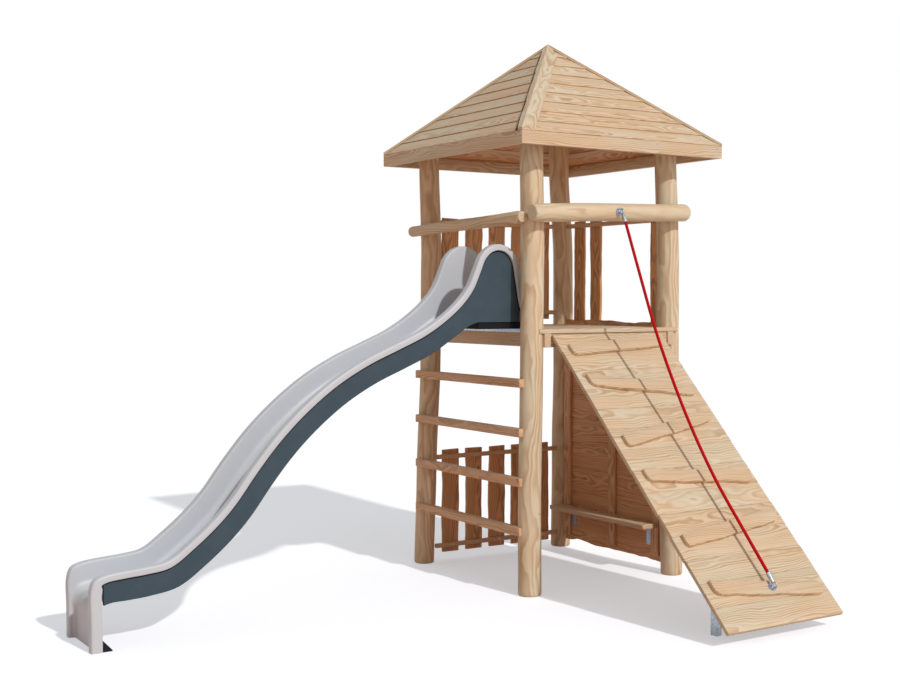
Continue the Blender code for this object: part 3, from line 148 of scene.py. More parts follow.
# Mesh helpers
class Lumber:
    """Boards and logs that share one mesh. Each vertex carries its place in the wood it was cut from, and a tone
    value that holds small random shifts of colour per board and painted shade on pieces that stand in shade.
    """

    def __init__(self):
        self.bm = bmesh.new()
        self.grain = self.bm.verts.layers.float_vector.new("grain")
        self.tone = self.bm.verts.layers.float.new("tone")

    def skin(self, rings, tone):
        """A closed body through rings of equally many (point, place in the wood) pairs, with flat ends."""
        rows = []
        for ring in rings:
            row = [self.bm.verts.new(point) for point, wood in ring]
            for corner, (point, wood) in zip(row, ring):
                corner[self.grain] = wood
                corner[self.tone] = tone
            rows.append(row)
        bridge(self.bm, rows)

    def board(self, place, size, seed, tone=0.0, low=None, high=None, ends=None, edge=None, step=None):
        """A board on its middle: X along its length, Y across, Z through. low and high wave its long edges,
        and ends gives how far each end is cut back at a place across."""
        settings = bpy.context.scene.tower_woodwork
        length, width, thickness = size
        edge = min(settings.eased_edge if edge is None else edge, thickness / 2.5)
        count = max(4, round(length / (settings.board_step if step is None else step)))
        shares = [0.0, 0.5 * edge / length]
        shares += [edge * 1.2 / length + (1 - 2.4 * edge / length) * i / count for i in range(count + 1)]
        shares += [1.0 - 0.5 * edge / length, 1.0]
        pith_side = -1.0 if chance(seed, 1) < 0.5 else 1.0
        pith_depth = pith_side * (0.03 + 0.06 * chance(seed, 3))
        pith = Vector((LOG_APART * seed, (chance(seed, 2) - 0.5) * width, pith_depth))
        rings = []
        for index, share in enumerate(shares):
            inset = {0: 1.0, 1: 0.3, len(shares) - 2: 0.3, len(shares) - 1: 1.0}.get(index, 0.0) * edge
            x = (share - 0.5) * length
            bottom = -width / 2 + (low(x) if low else 0.0) + inset
            top = width / 2 + (high(x) if high else 0.0) - inset
            half = thickness / 2 - inset
            ring = []
            for y, z in rounded_section(bottom, top, half, edge):
                along = x
                if ends:
                    back, fore = ends(y)
                    along = -length / 2 + back + share * (length - back - fore)
                point = Vector((along, y, z))
                ring.append((place @ point, point + pith))
            rings.append(ring)
        self.skin(rings, tone)

    def log(self, axis, radius, places, seed, tone=0.0):
        """A round log: axis and radius are given at each place along it."""
        sides = bpy.context.scene.tower_woodwork.log_sides
        points = [axis(place) for place in places]
        rings = []
        reference = None
        for place, point, ahead, walked in zip(places, points, tangents(points), distances(points, LOG_APART * seed)):
            if reference is None:
                reference = ahead.orthogonal().normalized()
            reference = (reference - ahead * reference.dot(ahead)).normalized()
            other = ahead.cross(reference)
            ring = []
            for cosine, sine in circle(sides):
                out = reference * cosine + other * sine
                knobbly = 1.0 + 0.012 * noise.noise(out * 0.9 + Vector((seed * 3.7, walked * 6.0, 0.0)))
                reach = radius(place) * knobbly
                ring.append((point + out * reach, Vector((walked, cosine * reach + 0.012, sine * reach - 0.007))))
            rings.append(ring)
        self.skin(rings, tone)

    def copy_node(self, node, along, seed, tone):
        """Take over a node's own shape, with its grain along a direction."""
        back = TOWER.inverted()
        x = Vector(along).normalized()
        y = x.orthogonal().normalized()
        z = x.cross(y)
        source = bmesh.new()
        source.from_mesh(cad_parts[node].data)
        bmesh.ops.remove_doubles(source, verts=source.verts, dist=SAME_POINT)
        points = [back @ corner.co for corner in source.verts]
        middle = sum(points, Vector()) / len(points)
        pith = Vector((LOG_APART * seed, 0.03 * (chance(seed, 1) - 0.5), 0.035 + 0.05 * chance(seed, 2)))
        corners = []
        for point in points:
            corner = self.bm.verts.new(point)
            offset = point - middle
            corner[self.grain] = Vector((offset.dot(x), offset.dot(y), offset.dot(z))) + pith
            corner[self.tone] = tone
            corners.append(corner)
        source.verts.index_update()
        for face in source.faces:
            self.bm.faces.new([corners[corner.index] for corner in face.verts])
        source.free()

    def finish(self, name, slot, *replaced, smooth=40.0):
        bmesh.ops.recalc_face_normals(self.bm, faces=self.bm.faces)
        return add_piece(name, to_mesh(self.bm, name, TOWER), slot, *replaced, smooth=smooth)


def add_timber(name, node, along, seed, tone=0.0):
    """A sawn board that keeps a node's own shape."""
    lumber = Lumber()
    lumber.copy_node(node, along, seed, tone)
    lumber.finish(name, "board_wood", node)


def add_board(name, node, *board, **shaped):
    """A piece that is one sawn board, in the place of a node."""
    lumber = Lumber()
    lumber.board(*board, **shaped)
    lumber.finish(name, "board_wood", node)


def to_mesh(bm, name, place=None):
    mesh = bpy.data.meshes.new(name)
    bm.to_mesh(mesh)
    bm.free()
    if place is not None:
        mesh.transform(place)
    return mesh


def bridge(bm, rows, capped=True):
    """Faces between rows of equally many corners, and flat ends where they are wanted."""
    count = len(rows[0])
    for row, following in zip(rows, rows[1:]):
        for k in range(count):
            bm.faces.new((row[k], row[(k + 1) % count], following[(k + 1) % count], following[k]))
    if capped:
        bm.faces.new(rows[0][::-1])
        bm.faces.new(rows[-1])


def circle(sides):
    """Cosine and sine at even steps round a circle."""
    angles = [2 * math.pi * k / sides for k in range(sides)]
    return [(math.cos(angle), math.sin(angle)) for angle in angles]


def tangents(points):
    """The direction of a line at each of its points."""
    last = len(points) - 1
    return [(points[min(i + 1, last)] - points[max(i - 1, 0)]).normalized() for i in range(last + 1)]


def distances(points, start=0.0):
    """How far along a line each of its points lies."""
    walked = [start]
    for before, after in zip(points, points[1:]):
        walked.append(walked[-1] + (after - before).length)
    return walked


def chance(seed, turn):
    """A fixed share between 0 and 1 for each piece and use."""
    return (math.sin(seed * 12.9898 + turn * 78.233) * 43758.5453) % 1.0


def rounded_section(bottom, top, half, edge):
    points = []
    for corner_y, corner_z, start in ((top, half, 0), (bottom, half, 1), (bottom, -half, 2), (top, -half, 3)):
        middle_y = corner_y - edge if corner_y == top else corner_y + edge
        middle_z = corner_z - edge if corner_z > 0 else corner_z + edge
        for k in range(3):
            angle = math.pi / 2 * (start + k / 2)
            points.append((middle_y + edge * math.cos(angle), middle_z + edge * math.sin(angle)))
    return points


def waver(position, phase, amount):
    """The slow waves of a log or of an edge that follows the tree."""
    first = math.sin(3.1 * position + 2.3 * phase)
    second = math.sin(7.7 * position + 4.1 * phase + 1.0)
    return amount * (0.65 * first + 0.35 * second)


def bark_edge(phase, amount):
    """The edge of a board that was left as the tree grew."""

    def offset(x):
        slow = noise.noise(Vector((x * 5.0, phase * 3.1, 0.0)))
        quick = noise.noise(Vector((x * 16.0, phase * 5.3, 4.0)))
        return amount * (0.75 * slow + 0.25 * quick)

    return offset


def steps_between(start, end, step):
    count = max(2, round(abs(end - start) / step))
    return [start + (end - start) * i / count for i in range(count + 1)]


def turn(angle, location=(0.0, 0.0, 0.0)):
    return Matrix.Translation(location) @ Matrix.Rotation(angle, 4, "Z")


def frame_of(origin, along, across):
    """A frame at origin with X along one direction, Y near another and Z square to both."""
    x = Vector(along).normalized()
    z = x.cross(Vector(across)).normalized()
    y = z.cross(x)
    return Matrix.Translation(origin) @ Matrix((x, y, z)).transposed().to_4x4()


def add_piece(name, mesh, slot, *replaced, smooth=40.0):
    """A finished piece: at the origin, riding on the tower, in the place of the nodes it replaces."""
    mesh.name = name
    mesh.shade_smooth()
    mesh.set_sharp_from_angle(angle=math.radians(smooth))
    piece = bpy.data.objects.new(name, mesh)
    bpy.context.scene.collection.objects.link(piece)
    mesh.materials.clear()
    mesh.materials.append(finish_for(slot))
    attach(piece, "root")
    if replaced:
        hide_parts(*replaced)
    return piece


def refinish(slot, *nodes):
    """Give nodes that keep their own shape their finish."""
    for node in nodes:
        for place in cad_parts[node].material_slots:
            place.material = finish_for(slot)


def smooth_line(points, subdivisions):
    """Points along a smooth curve through the given points, which may have two or three values each."""
    points = [Vector(point) for point in points]
    ends = [2 * points[0] - points[1]] + points + [2 * points[-1] - points[-2]]
    line = []
    for i in range(1, len(ends) - 2):
        before, start, end, after = ends[i - 1 : i + 3]
        knots = [0.0]
        for first, second in ((before, start), (start, end), (end, after)):
            knots.append(knots[-1] + math.sqrt((second - first).length))
        for step in range(subdivisions):
            t = knots[1] + (knots[2] - knots[1]) * step / subdivisions
            a = before.lerp(start, (t - knots[0]) / (knots[1] - knots[0]))
            b = start.lerp(end, (t - knots[1]) / (knots[2] - knots[1]))
            c = end.lerp(after, (t - knots[2]) / (knots[3] - knots[2]))
            d = a.lerp(b, (t - knots[0]) / (knots[2] - knots[0]))
            e = b.lerp(c, (t - knots[1]) / (knots[3] - knots[1]))
            line.append(d.lerp(e, (t - knots[1]) / (knots[2] - knots[1])))
    line.append(points[-1])
    return line


# Shader helpers
class Nodes:
    """Short calls that add nodes to a tree and link them."""

    def __init__(self, tree):
        self.tree = tree

    def add(self, kind, inputs=(), **settings):
        node = self.tree.nodes.new(kind)
        for key, value in settings.items():
            setattr(node, key, value)
        for key, value in dict(inputs).items():
            if isinstance(value, bpy.types.NodeSocket):
                self.tree.links.new(value, node.inputs[key])
            else:
                node.inputs[key].default_value = value
        return node

    def math(self, operation, *values):
        return self.add("ShaderNodeMath", enumerate(values), operation=operation).outputs[0]

    def noise(self, vector, scale, detail=2.0, roughness=0.5):
        return self.add(
            "ShaderNodeTexNoise",
            {"Vector": vector, "Scale": scale, "Detail": detail, "Roughness": roughness},
        ).outputs["Fac"]

    def stretch(self, vector, factors):
        return self.add(
            "ShaderNodeVectorMath", {0: vector, 1: factors}, operation="MULTIPLY"
        ).outputs["Vector"]

    def ramp(self, value, low, high, start=0.0, end=1.0):
        """A smooth change from start to end as the value goes from low to high."""
        return self.add(
            "ShaderNodeMapRange",
            {"Value": value, "From Min": low, "From Max": high, "To Min": start, "To Max": end},
            interpolation_type="SMOOTHSTEP",
        ).outputs["Result"]

    def mix(self, share, first, second, blend="MIX"):
        node = self.add("ShaderNodeMix", {0: share}, data_type="RGBA", blend_type=blend)
        for socket, value in ((node.inputs[6], first), (node.inputs[7], second)):
            if isinstance(value, bpy.types.NodeSocket):
                self.tree.links.new(value, socket)
            else:
                socket.default_value = (*value, 1.0)[:4]
        return node.outputs[2]


def new_group(name, inputs, outputs):
    """A shader node group with named sockets, given as (name, type, default)."""
    tree = bpy.data.node_groups.new(name, "ShaderNodeTree")
    for socket_name, kind, default in inputs:
        socket = tree.interface.new_socket(socket_name, in_out="INPUT", socket_type=kind)
        if default is not None:
            socket.default_value = default
    for socket_name, kind in outputs:
        tree.interface.new_socket(socket_name, in_out="OUTPUT", socket_type=kind)
    nodes = Nodes(tree)
    return nodes, nodes.add("NodeGroupInput").outputs, nodes.add("NodeGroupOutput").inputs


FLOAT = "NodeSocketFloat"
COLOUR = "NodeSocketColor"
VECTOR = "NodeSocketVector"


def sawn_grain_group():
    """Year rings cut at a slant, fibres and slow changes of colour, from a point's place in the log. The tone input
    moves the colour toward the heart colour and darkens the rings: small values give boards their own colour, larger
    ones are painted shade on sheltered pieces.
    """
    nodes, given, wanted = new_group(
        "sawn_grain",
        (
            ("Wood", VECTOR, None),
            ("Tone And Shade", FLOAT, 0.0),
            ("Ring Width", FLOAT, 0.0075),
            ("Wander", FLOAT, 0.02),
            ("Contrast", FLOAT, 0.7),
            ("Pale", COLOUR, (0.8, 0.6, 0.4, 1.0)),
            ("Ring", COLOUR, (0.6, 0.4, 0.2, 1.0)),
            ("Heart And Shade", COLOUR, (0.5, 0.3, 0.15, 1.0)),
        ),
        (("Color", COLOUR), ("Roughness", FLOAT), ("Height", FLOAT)),
    )
    wood = given["Wood"]
    slow = nodes.noise(nodes.stretch(wood, (2.0, 7.0, 7.0)), 1.0, 1.0, 0.4)
    quick = nodes.noise(nodes.stretch(wood, (7.5, 22.0, 22.0)), 1.0, 1.0, 0.4)
    parts = nodes.add("ShaderNodeSeparateXYZ", {0: wood}).outputs
    squares = nodes.math("ADD", nodes.math("POWER", parts[1], 2.0), nodes.math("POWER", parts[2], 2.0))
    reach = nodes.math("SQRT", squares)
    drift = nodes.math("MULTIPLY", nodes.math("SUBTRACT", slow, 0.5), nodes.math("MULTIPLY", given["Wander"], 4.0))
    shiver = nodes.math("MULTIPLY", nodes.math("SUBTRACT", quick, 0.5), given["Wander"])
    distance = nodes.math("ADD", nodes.math("ADD", reach, drift), shiver)
    years = nodes.math("DIVIDE", distance, given["Ring Width"])
    year = nodes.math("FRACT", years)
    rise = nodes.ramp(year, 0.10, 0.80)
    fall = nodes.ramp(year, 0.82, 1.0, 1.0, 0.0)
    late = nodes.math("MULTIPLY", rise, fall)
    strength = nodes.add(
        "ShaderNodeTexWhiteNoise", {"W": nodes.math("FLOOR", years)}, noise_dimensions="1D"
    ).outputs["Value"]
    patchy = nodes.noise(nodes.stretch(wood, (3.0, 20.0, 20.0)), 1.0, 1.0, 0.5)
    ring_share = nodes.math("MULTIPLY", late, nodes.ramp(strength, 0.0, 1.0, 0.45, 1.0))
    ring_share = nodes.math("MULTIPLY", ring_share, nodes.ramp(patchy, 0.30, 0.70, 0.55, 1.0))
    ring_share = nodes.math("MULTIPLY", ring_share, given["Contrast"])
    fibres = nodes.noise(nodes.stretch(wood, (14.0, 520.0, 520.0)), 1.0, 3.0, 0.6)
    cloud = nodes.noise(nodes.stretch(wood, (1.7, 7.0, 7.0)), 1.0, 2.0, 0.5)
    base = nodes.mix(nodes.ramp(cloud, 0.38, 0.66, 0.0, 0.22), given["Pale"], given["Heart And Shade"])
    # Painted shade: the tone input pulls a sheltered piece toward the heart colour and darkens its rings; small
    # random values only give boards their own colour.
    base = nodes.mix(given["Tone And Shade"], base, given["Heart And Shade"])
    ringed = nodes.mix(ring_share, base, given["Ring"])
    deeper = nodes.mix(nodes.math("MULTIPLY", given["Tone And Shade"], ring_share), ringed, (0.30, 0.13, 0.05))
    veined = nodes.mix(nodes.ramp(fibres, 0.42, 0.72, 0.0, 0.16), deeper, (0.36, 0.20, 0.09))
    specks = nodes.add(
        "ShaderNodeTexVoronoi", {"Vector": nodes.stretch(wood, (5.0, 9.0, 9.0)), "Scale": 1.0}, feature="F1"
    )
    lonely = nodes.add("ShaderNodeSeparateColor", {0: specks.outputs["Color"]}).outputs[0]
    near = nodes.ramp(specks.outputs["Distance"], 0.015, 0.045, 1.0, 0.0)
    speck = nodes.math("MULTIPLY", near, nodes.math("GREATER_THAN", lonely, 0.72))
    spotted = nodes.mix(nodes.math("MULTIPLY", speck, 0.75), veined, (0.16, 0.075, 0.03))
    nodes.tree.links.new(spotted, wanted["Color"])
    nodes.tree.links.new(nodes.ramp(late, 0.0, 1.0, 0.62, 0.50), wanted["Roughness"])
    height = nodes.math("ADD", nodes.math("MULTIPLY", late, 0.6), nodes.math("MULTIPLY", fibres, 0.4))
    nodes.tree.links.new(height, wanted["Height"])
    return nodes.tree


def worn_surface_group():
    """Slow mottling, fine dust and a pebbled skin, for plastic and zinc."""
    nodes, given, wanted = new_group(
        "worn_surface",
        (
            ("Place", VECTOR, None),
            ("Color", COLOUR, (0.5, 0.5, 0.5, 1.0)),
            ("Dust", COLOUR, (0.5, 0.5, 0.5, 1.0)),
            ("Dust Share", FLOAT, 0.1),
            ("Patch Scale", FLOAT, 6.0),
            ("Grain Scale", FLOAT, 600.0),
            ("Roughness", FLOAT, 0.4),
        ),
        (("Color", COLOUR), ("Roughness", FLOAT), ("Height", FLOAT)),
    )
    patches = nodes.noise(given["Place"], given["Patch Scale"], 4.0, 0.6)
    grain = nodes.noise(given["Place"], given["Grain Scale"], 1.0, 0.5)
    share = nodes.math("MULTIPLY", nodes.ramp(patches, 0.35, 0.72), given["Dust Share"])
    nodes.tree.links.new(nodes.mix(share, given["Color"], given["Dust"]), wanted["Color"])
    rougher = nodes.math("MULTIPLY", nodes.math("SUBTRACT", patches, 0.5), 0.18)
    nodes.tree.links.new(nodes.math("ADD", given["Roughness"], rougher), wanted["Roughness"])
    nodes.tree.links.new(grain, wanted["Height"])
    return nodes.tree


def new_material(name):
    material = bpy.data.materials.new(name)
    material.use_nodes = True
    material.node_tree.nodes.clear()
    nodes = Nodes(material.node_tree)
    shader = nodes.add("ShaderNodeBsdfPrincipled")
    nodes.add("ShaderNodeOutputMaterial", {"Surface": shader.outputs["BSDF"]})
    return material, nodes, shader


def shared_group(name, build):
    return bpy.data.node_groups.get(name) or build()


def dress(nodes, shader, group, bump, depth):
    """Feed a group's colour, roughness and height into the shader."""
    nodes.tree.links.new(group.outputs["Color"], shader.inputs["Base Color"])
    nodes.tree.links.new(group.outputs["Roughness"], shader.inputs["Roughness"])
    add_relief(nodes, shader, group.outputs["Height"], bump, depth)


def add_relief(nodes, shader, height, bump, depth):
    relief = nodes.add("ShaderNodeBump", {"Height": height, "Strength": bump, "Distance": depth})
    nodes.tree.links.new(relief.outputs["Normal"], shader.inputs["Normal"])


def wood_material(name, pale, contrast, wander, ring_scale):
    settings = bpy.context.scene.tower_woodwork
    material, nodes, shader = new_material(name)
    given = {
        "Wood": nodes.add("ShaderNodeAttribute", attribute_name="grain").outputs["Vector"],
        "Tone And Shade": nodes.add("ShaderNodeAttribute", attribute_name="tone").outputs["Fac"],
        "Ring Width": settings.ring_width * ring_scale,
        "Wander": wander,
        "Contrast": contrast,
        "Pale": (*pale, 1.0),
        "Ring": (*settings.ring_wood, 1.0),
        "Heart And Shade": (*settings.heart_and_shade_wood, 1.0),
    }
    cut = nodes.add("ShaderNodeGroup", given, node_tree=shared_group("sawn_grain", sawn_grain_group))
    dress(nodes, shader, cut, 0.25, 0.0006)
    shader.inputs["Specular IOR Level"].default_value = 0.3
    return material


def worn_material(name, base, dust, share, roughness, metallic=0.0, patch=6.0, grain=600.0, shine=0.5):
    material, nodes, shader = new_material(name)
    given = {
        "Place": nodes.add("ShaderNodeTexCoord").outputs["Object"],
        "Color": (*base, 1.0),
        "Dust": (*dust, 1.0),
        "Dust Share": share,
        "Patch Scale": patch,
        "Grain Scale": grain,
        "Roughness": roughness,
    }
    worn = nodes.add("ShaderNodeGroup", given, node_tree=shared_group("worn_surface", worn_surface_group))
    dress(nodes, shader, worn, 0.1, 0.0004)
    shader.inputs["Metallic"].default_value = metallic
    shader.inputs["Specular IOR Level"].default_value = shine
    return material


# For each slot of the record: the material's name, its setting for the pale wood, contrast of the
# rings, their wander and their scale
WOODS = {
    "log_wood": ("debarked_log", "log_pale", 0.80, 0.011, 0.9),
    "board_wood": ("sawn_board", "pale_wood", 0.95, 0.019, 1.0),
    "roof_wood": ("roof_board", "pale_wood", 0.95, 0.019, 1.0),
}
# The material's name, its setting for the colour, the dust's display colour and share, the roughness
# and what else differs from plain plastic
WORN = {
    "chute_plastic": ("moulded_grey_plastic", "chute_grey", (184, 190, 198), 0.25, 0.42, {"shine": 0.4}),
    "side_panel_plastic": (
        "moulded_slate_plastic", "panel_slate", (76, 92, 103), 0.30, 0.45, {"patch": 9.0, "shine": 0.15}
    ),
    "seat_base_plastic": (
        "pebbled_black_plastic", "base_black", (36, 38, 42), 0.30, 0.6, {"patch": 14.0, "shine": 0.15}
    ),
    "zinc_steel": (
        "galvanised_steel", "steel_grey", (128, 136, 148), 0.7, 0.34, {"metallic": 1.0, "patch": 70.0, "grain": 900.0}
    ),
}


def finish_for(slot):
    """The material for one of the record's slots, made on its first use."""
    scene = bpy.context.scene
    if slot == "red_rope":
        return rope_fibre()
    if slot in WOODS:
        name, pale, *grain = WOODS[slot]
        return bpy.data.materials.get(name) or wood_material(name, getattr(scene.tower_woodwork, pale), *grain)
    name, setting, dust, share, roughness, others = WORN[slot]
    base = getattr(scene.tower_finishes, setting)
    return bpy.data.materials.get(name) or worn_material(name, base, colour(*dust), share, roughness, **others)


def rope_fibre():
    """Red cord laid in strands that wind round it; the pattern follows the rope's own map."""
    material, nodes, shader = new_material("laid_red_cord")
    finishes = bpy.context.scene.tower_finishes
    coordinates = nodes.add("ShaderNodeUVMap", uv_map="rope").outputs["UV"]
    parts = nodes.add("ShaderNodeSeparateXYZ", {0: coordinates}).outputs
    strands = []
    for hand in (1.0, -1.0):
        lay = nodes.math("MULTIPLY", parts[1], hand / finishes.rope_pitch)
        wound = nodes.math("MULTIPLY", nodes.math("ADD", parts[0], lay), 2.0 * math.pi * 6.0)
        strands.append(nodes.math("ABSOLUTE", nodes.math("SINE", wound)))
    braid = nodes.math("MULTIPLY", strands[0], strands[1])
    # Painted shade: the cord turns darker red in the creases between its strands
    crease = nodes.ramp(braid, 0.0, 0.35, 1.0, 0.0)
    red = (*finishes.rope_red, 1.0)
    shade = nodes.mix(nodes.math("MULTIPLY", crease, 0.40), red, colour(84, 0, 8))
    fuzz = nodes.noise(nodes.add("ShaderNodeTexCoord").outputs["Object"], 900.0, 2.0, 0.6)
    fuzzy = nodes.mix(nodes.ramp(fuzz, 0.45, 0.8, 0.0, 0.2), shade, colour(190, 10, 26))
    nodes.tree.links.new(fuzzy, shader.inputs["Base Color"])
    shader.inputs["Roughness"].default_value = 0.7
    shader.inputs["Specular IOR Level"].default_value = 0.15
    add_relief(nodes, shader, braid, 0.6, 0.0012)
    return material


# Stage
CAMERA_PLACE = (-4.8031, -6.4258)
SUNLIGHT = Vector((-0.085, 0.789, -0.608))
FRONT_LIGHT_PLACE = Vector((0.6, -10.0, 3.0))
FRONT_LIGHT_TARGET = Vector((0.4, 0.0, 1.3))
FLOOR_REACH = 60.0


def looked_at(nodes):
    """1 on rays from the camera, off gloss and through glass, 0 on the rays that carry light about."""
    rays = nodes.add("ShaderNodeLightPath").outputs
    bent = nodes.math("MAXIMUM", rays["Is Glossy Ray"], rays["Is Transmission Ray"])
    return nodes.math("MAXIMUM", rays["Is Camera Ray"], bent)


class TOWER_OT_stage(bpy.types.Operator):
    """Camera at the photograph's angle, soft studio light and a plain pale floor"""

    bl_idname = "tower.stage"
    bl_label = "Stage"

    def execute(self, context):
        settings = context.scene.tower_stage
        scene = context.scene
        camera = bpy.data.cameras.new("camera")
        camera.sensor_width = 36.0
        camera.lens = settings.focal_length
        camera.clip_end = 200.0
        viewer = bpy.data.objects.new("camera", camera)
        scene.collection.objects.link(viewer)
        level = Vector((math.sin(settings.heading), math.cos(settings.heading), 0.0))
        ahead = level * math.cos(settings.tilt) + Vector((0.0, 0.0, math.sin(settings.tilt)))
        viewer.location = TOWER @ Vector((*CAMERA_PLACE, settings.eye_height))
        viewer.rotation_euler = ahead.to_track_quat("-Z", "Y").to_euler()
        scene.camera = viewer
        self.add_sky(scene, settings.sky_strength)
        self.add_lamps(scene, settings.sun_strength)
        self.add_floor(scene)
        scene.view_settings.view_transform = "Standard"
        return {"FINISHED"}

    def add_sky(self, scene, strength):
        world = bpy.data.worlds.new("studio")
        world.use_nodes = True
        scene.world = world
        world.node_tree.nodes.clear()
        nodes = Nodes(world.node_tree)
        seen = looked_at(nodes)
        light = nodes.add("ShaderNodeBackground", {"Color": (1.0, 0.94, 0.89, 1.0), "Strength": strength})
        backdrop = nodes.add("ShaderNodeBackground", {"Color": (1.0, 1.0, 1.0, 1.0), "Strength": 1.0})
        both = nodes.add("ShaderNodeMixShader", {0: seen, 1: light.outputs[0], 2: backdrop.outputs[0]})
        nodes.add("ShaderNodeOutputWorld", {"Surface": both.outputs[0]})

    def add_lamps(self, scene, strength):
        key = bpy.data.lights.new("key", "SUN")
        key.energy = strength
        key.angle = math.radians(1.6)
        key.color = (1.0, 0.99, 0.975)
        lamp = bpy.data.objects.new("key", key)
        scene.collection.objects.link(lamp)
        lamp.rotation_euler = SUNLIGHT.to_track_quat("-Z", "Y").to_euler()
        front = bpy.data.lights.new("front", "AREA")
        front.shape = "DISK"
        front.size = 7.0
        front.energy = 130.0
        fill = bpy.data.objects.new("front", front)
        scene.collection.objects.link(fill)
        fill.location = FRONT_LIGHT_PLACE
        toward = FRONT_LIGHT_TARGET - FRONT_LIGHT_PLACE
        fill.rotation_euler = toward.to_track_quat("-Z", "Y").to_euler()

    def add_floor(self, scene):
        mesh = bpy.data.meshes.new("floor")
        corners = [(x * FLOOR_REACH, y * FLOOR_REACH, 0) for x, y in ((-1, -1), (1, -1), (1, 1), (-1, 1))]
        mesh.from_pydata(corners, [], [(0, 1, 2, 3)])
        floor = bpy.data.objects.new("floor", mesh)
        scene.collection.objects.link(floor)
        material = bpy.data.materials.new("pale_floor")
        material.use_nodes = True
        material.node_tree.nodes.clear()
        nodes = Nodes(material.node_tree)
        seen = looked_at(nodes)
        matt = nodes.add("ShaderNodeBsdfDiffuse", {"Color": (0.92, 0.92, 0.96, 1.0)})
        lift = nodes.add("ShaderNodeEmission", {"Color": (0.84, 0.93, 1.0, 1.0), "Strength": 0.385})
        pale = nodes.add("ShaderNodeAddShader", {0: matt.outputs[0], 1: lift.outputs[0]})
        bounce = nodes.add("ShaderNodeBsdfDiffuse", {"Color": (0.80, 0.55, 0.44, 1.0)})
        both = nodes.add("ShaderNodeMixShader", {0: seen, 1: bounce.outputs[0], 2: pale.outputs[0]})
        nodes.add("ShaderNodeOutputMaterial", {"Surface": both.outputs[0]})
        mesh.materials.append(material)


# Climbing rope
ROPE_DIAMETER = 0.017
ROPE_X = -0.012
ROPE_SIDES = 20
FERRULE_LENGTH = 0.055
EYE_RADIUS = 0.014
# The rope's middle points; its ends run straight out of the ferrules
ROPE_ROUTE = (
    (ROPE_X, -0.870, 1.782),
    (ROPE_X, -0.996, 1.492),
    (ROPE_X, -1.127, 1.240),
    (ROPE_X, -1.277, 0.989),
    (ROPE_X, -1.466, 0.723),
    (ROPE_X, -1.665, 0.494),
)


def eye_place(seat, normal, pull):
    """The middles of an eye's ring and of the ferrule beyond it, and where the rope leaves the ferrule."""
    ring = seat + normal * (CLEARANCE + 0.004 + 0.018)
    return ring, ring + pull * EYE_RADIUS, ring + pull * (EYE_RADIUS + FERRULE_LENGTH + CLEARANCE)


def rope_ends():
    """The top and foot eyes: seat, direction off the seat and direction of the rope's pull."""
    front = ramp_rail_axis(ROPE_X) - Vector((0.0, RAMP_RAIL[2] + 0.0015, 0.0))
    drop = math.radians(63.0)
    down = Vector((0.0, -math.cos(drop), -math.sin(drop)))
    anchor = RAMP_FRAME @ Vector((ROPE_X, -1.765, 0.0223))
    off_boards = Vector((0.0, -math.sin(RAMP_ANGLE), math.cos(RAMP_ANGLE)))
    lift = RAMP_ANGLE + math.radians(5.0)
    up = Vector((0.0, math.cos(lift), math.sin(lift)))
    return (front, Vector((0.0, -1.0, 0.0)), down), (anchor, off_boards, up)


def rope_line():
    top, foot = rope_ends()
    start, end = eye_place(*top)[2], eye_place(*foot)[2]
    curve = smooth_line((start + top[2] * 0.015, *ROPE_ROUTE, end + foot[2] * 0.015), 12)
    return [start] + curve + [end]


class TOWER_OT_rope(bpy.types.Operator):
    """Climbing rope that hangs in a long bow from the log rail to the ramp's foot"""

    bl_idname = "tower.rope"
    bl_label = "Climbing rope"

    def execute(self, context):
        route = [TOWER @ point for point in rope_line()]
        walked = distances(route)
        bm = bmesh.new()
        mapping = bm.loops.layers.uv.new("rope")
        across = Vector(ALONG_X)
        rows = []
        for point, ahead in zip(route, tangents(route)):
            other = ahead.cross(across)
            outs = [across * cosine + other * sine for cosine, sine in circle(ROPE_SIDES)]
            rows.append([bm.verts.new(point + out * ROPE_DIAMETER / 2) for out in outs])
        bridge(bm, rows)
        bm.faces.ensure_lookup_table()
        for index, (start, end) in enumerate(zip(walked, walked[1:])):
            for k in range(ROPE_SIDES):
                places = ((k, start), (k + 1, start), (k + 1, end), (k, end))
                for loop, (side, along) in zip(bm.faces[index * ROPE_SIDES + k].loops, places):
                    loop[mapping].uv = (side / ROPE_SIDES, along)
        bmesh.ops.recalc_face_normals(bm, faces=bm.faces)
        rope = add_piece("rope", to_mesh(bm, "rope"), "red_rope", "climbing_rope")
        return {"FINISHED"}


# Log posts and rails
# Painted shade on each post: a larger share of the heart colour on the posts that stand in shade
POST_PAINTED_SHADE = {"front_post": 0.0, "right_post": 0.05, "back_post": 0.15, "left_post": 0.2}
CORNERS = {"front_post": (-1, -1), "right_post": (1, -1), "back_post": (1, 1), "left_post": (-1, 1)}


def post_axis(name, height):
    """The middle of a post at a height, with its lean and its bow."""
    side_x, side_y = CORNERS[name]
    bows = POST_BOWS[name]
    step = min(max((height + 0.05) / BOW_STEP, 0.0), len(bows) - 1.001)
    index = int(step)
    share = step - index
    eased = share * share * (3.0 - 2.0 * share)
    middle = Vector((side_x * (POST_X - 0.0133 * height), side_y * (POST_Y - 0.0071 * height), height))
    return middle + BOW_DIRECTION * (bows[index] * (1.0 - eased) + bows[index + 1] * eased)


def seat_of_rail(names, height, axis, share, radius):
    """How far out a rail's middle lies, let a little into two posts' outer faces."""
    outs = [abs(post_axis(name, height)[axis]) + POST_RADII[name] for name in names]
    return outs[0] + (outs[1] - outs[0]) * share + radius - 0.005


RAMP_RAIL = (-0.5833, 0.5573, 0.050)
SLIDE_RAIL = (-0.5749, 0.6199, 0.034)


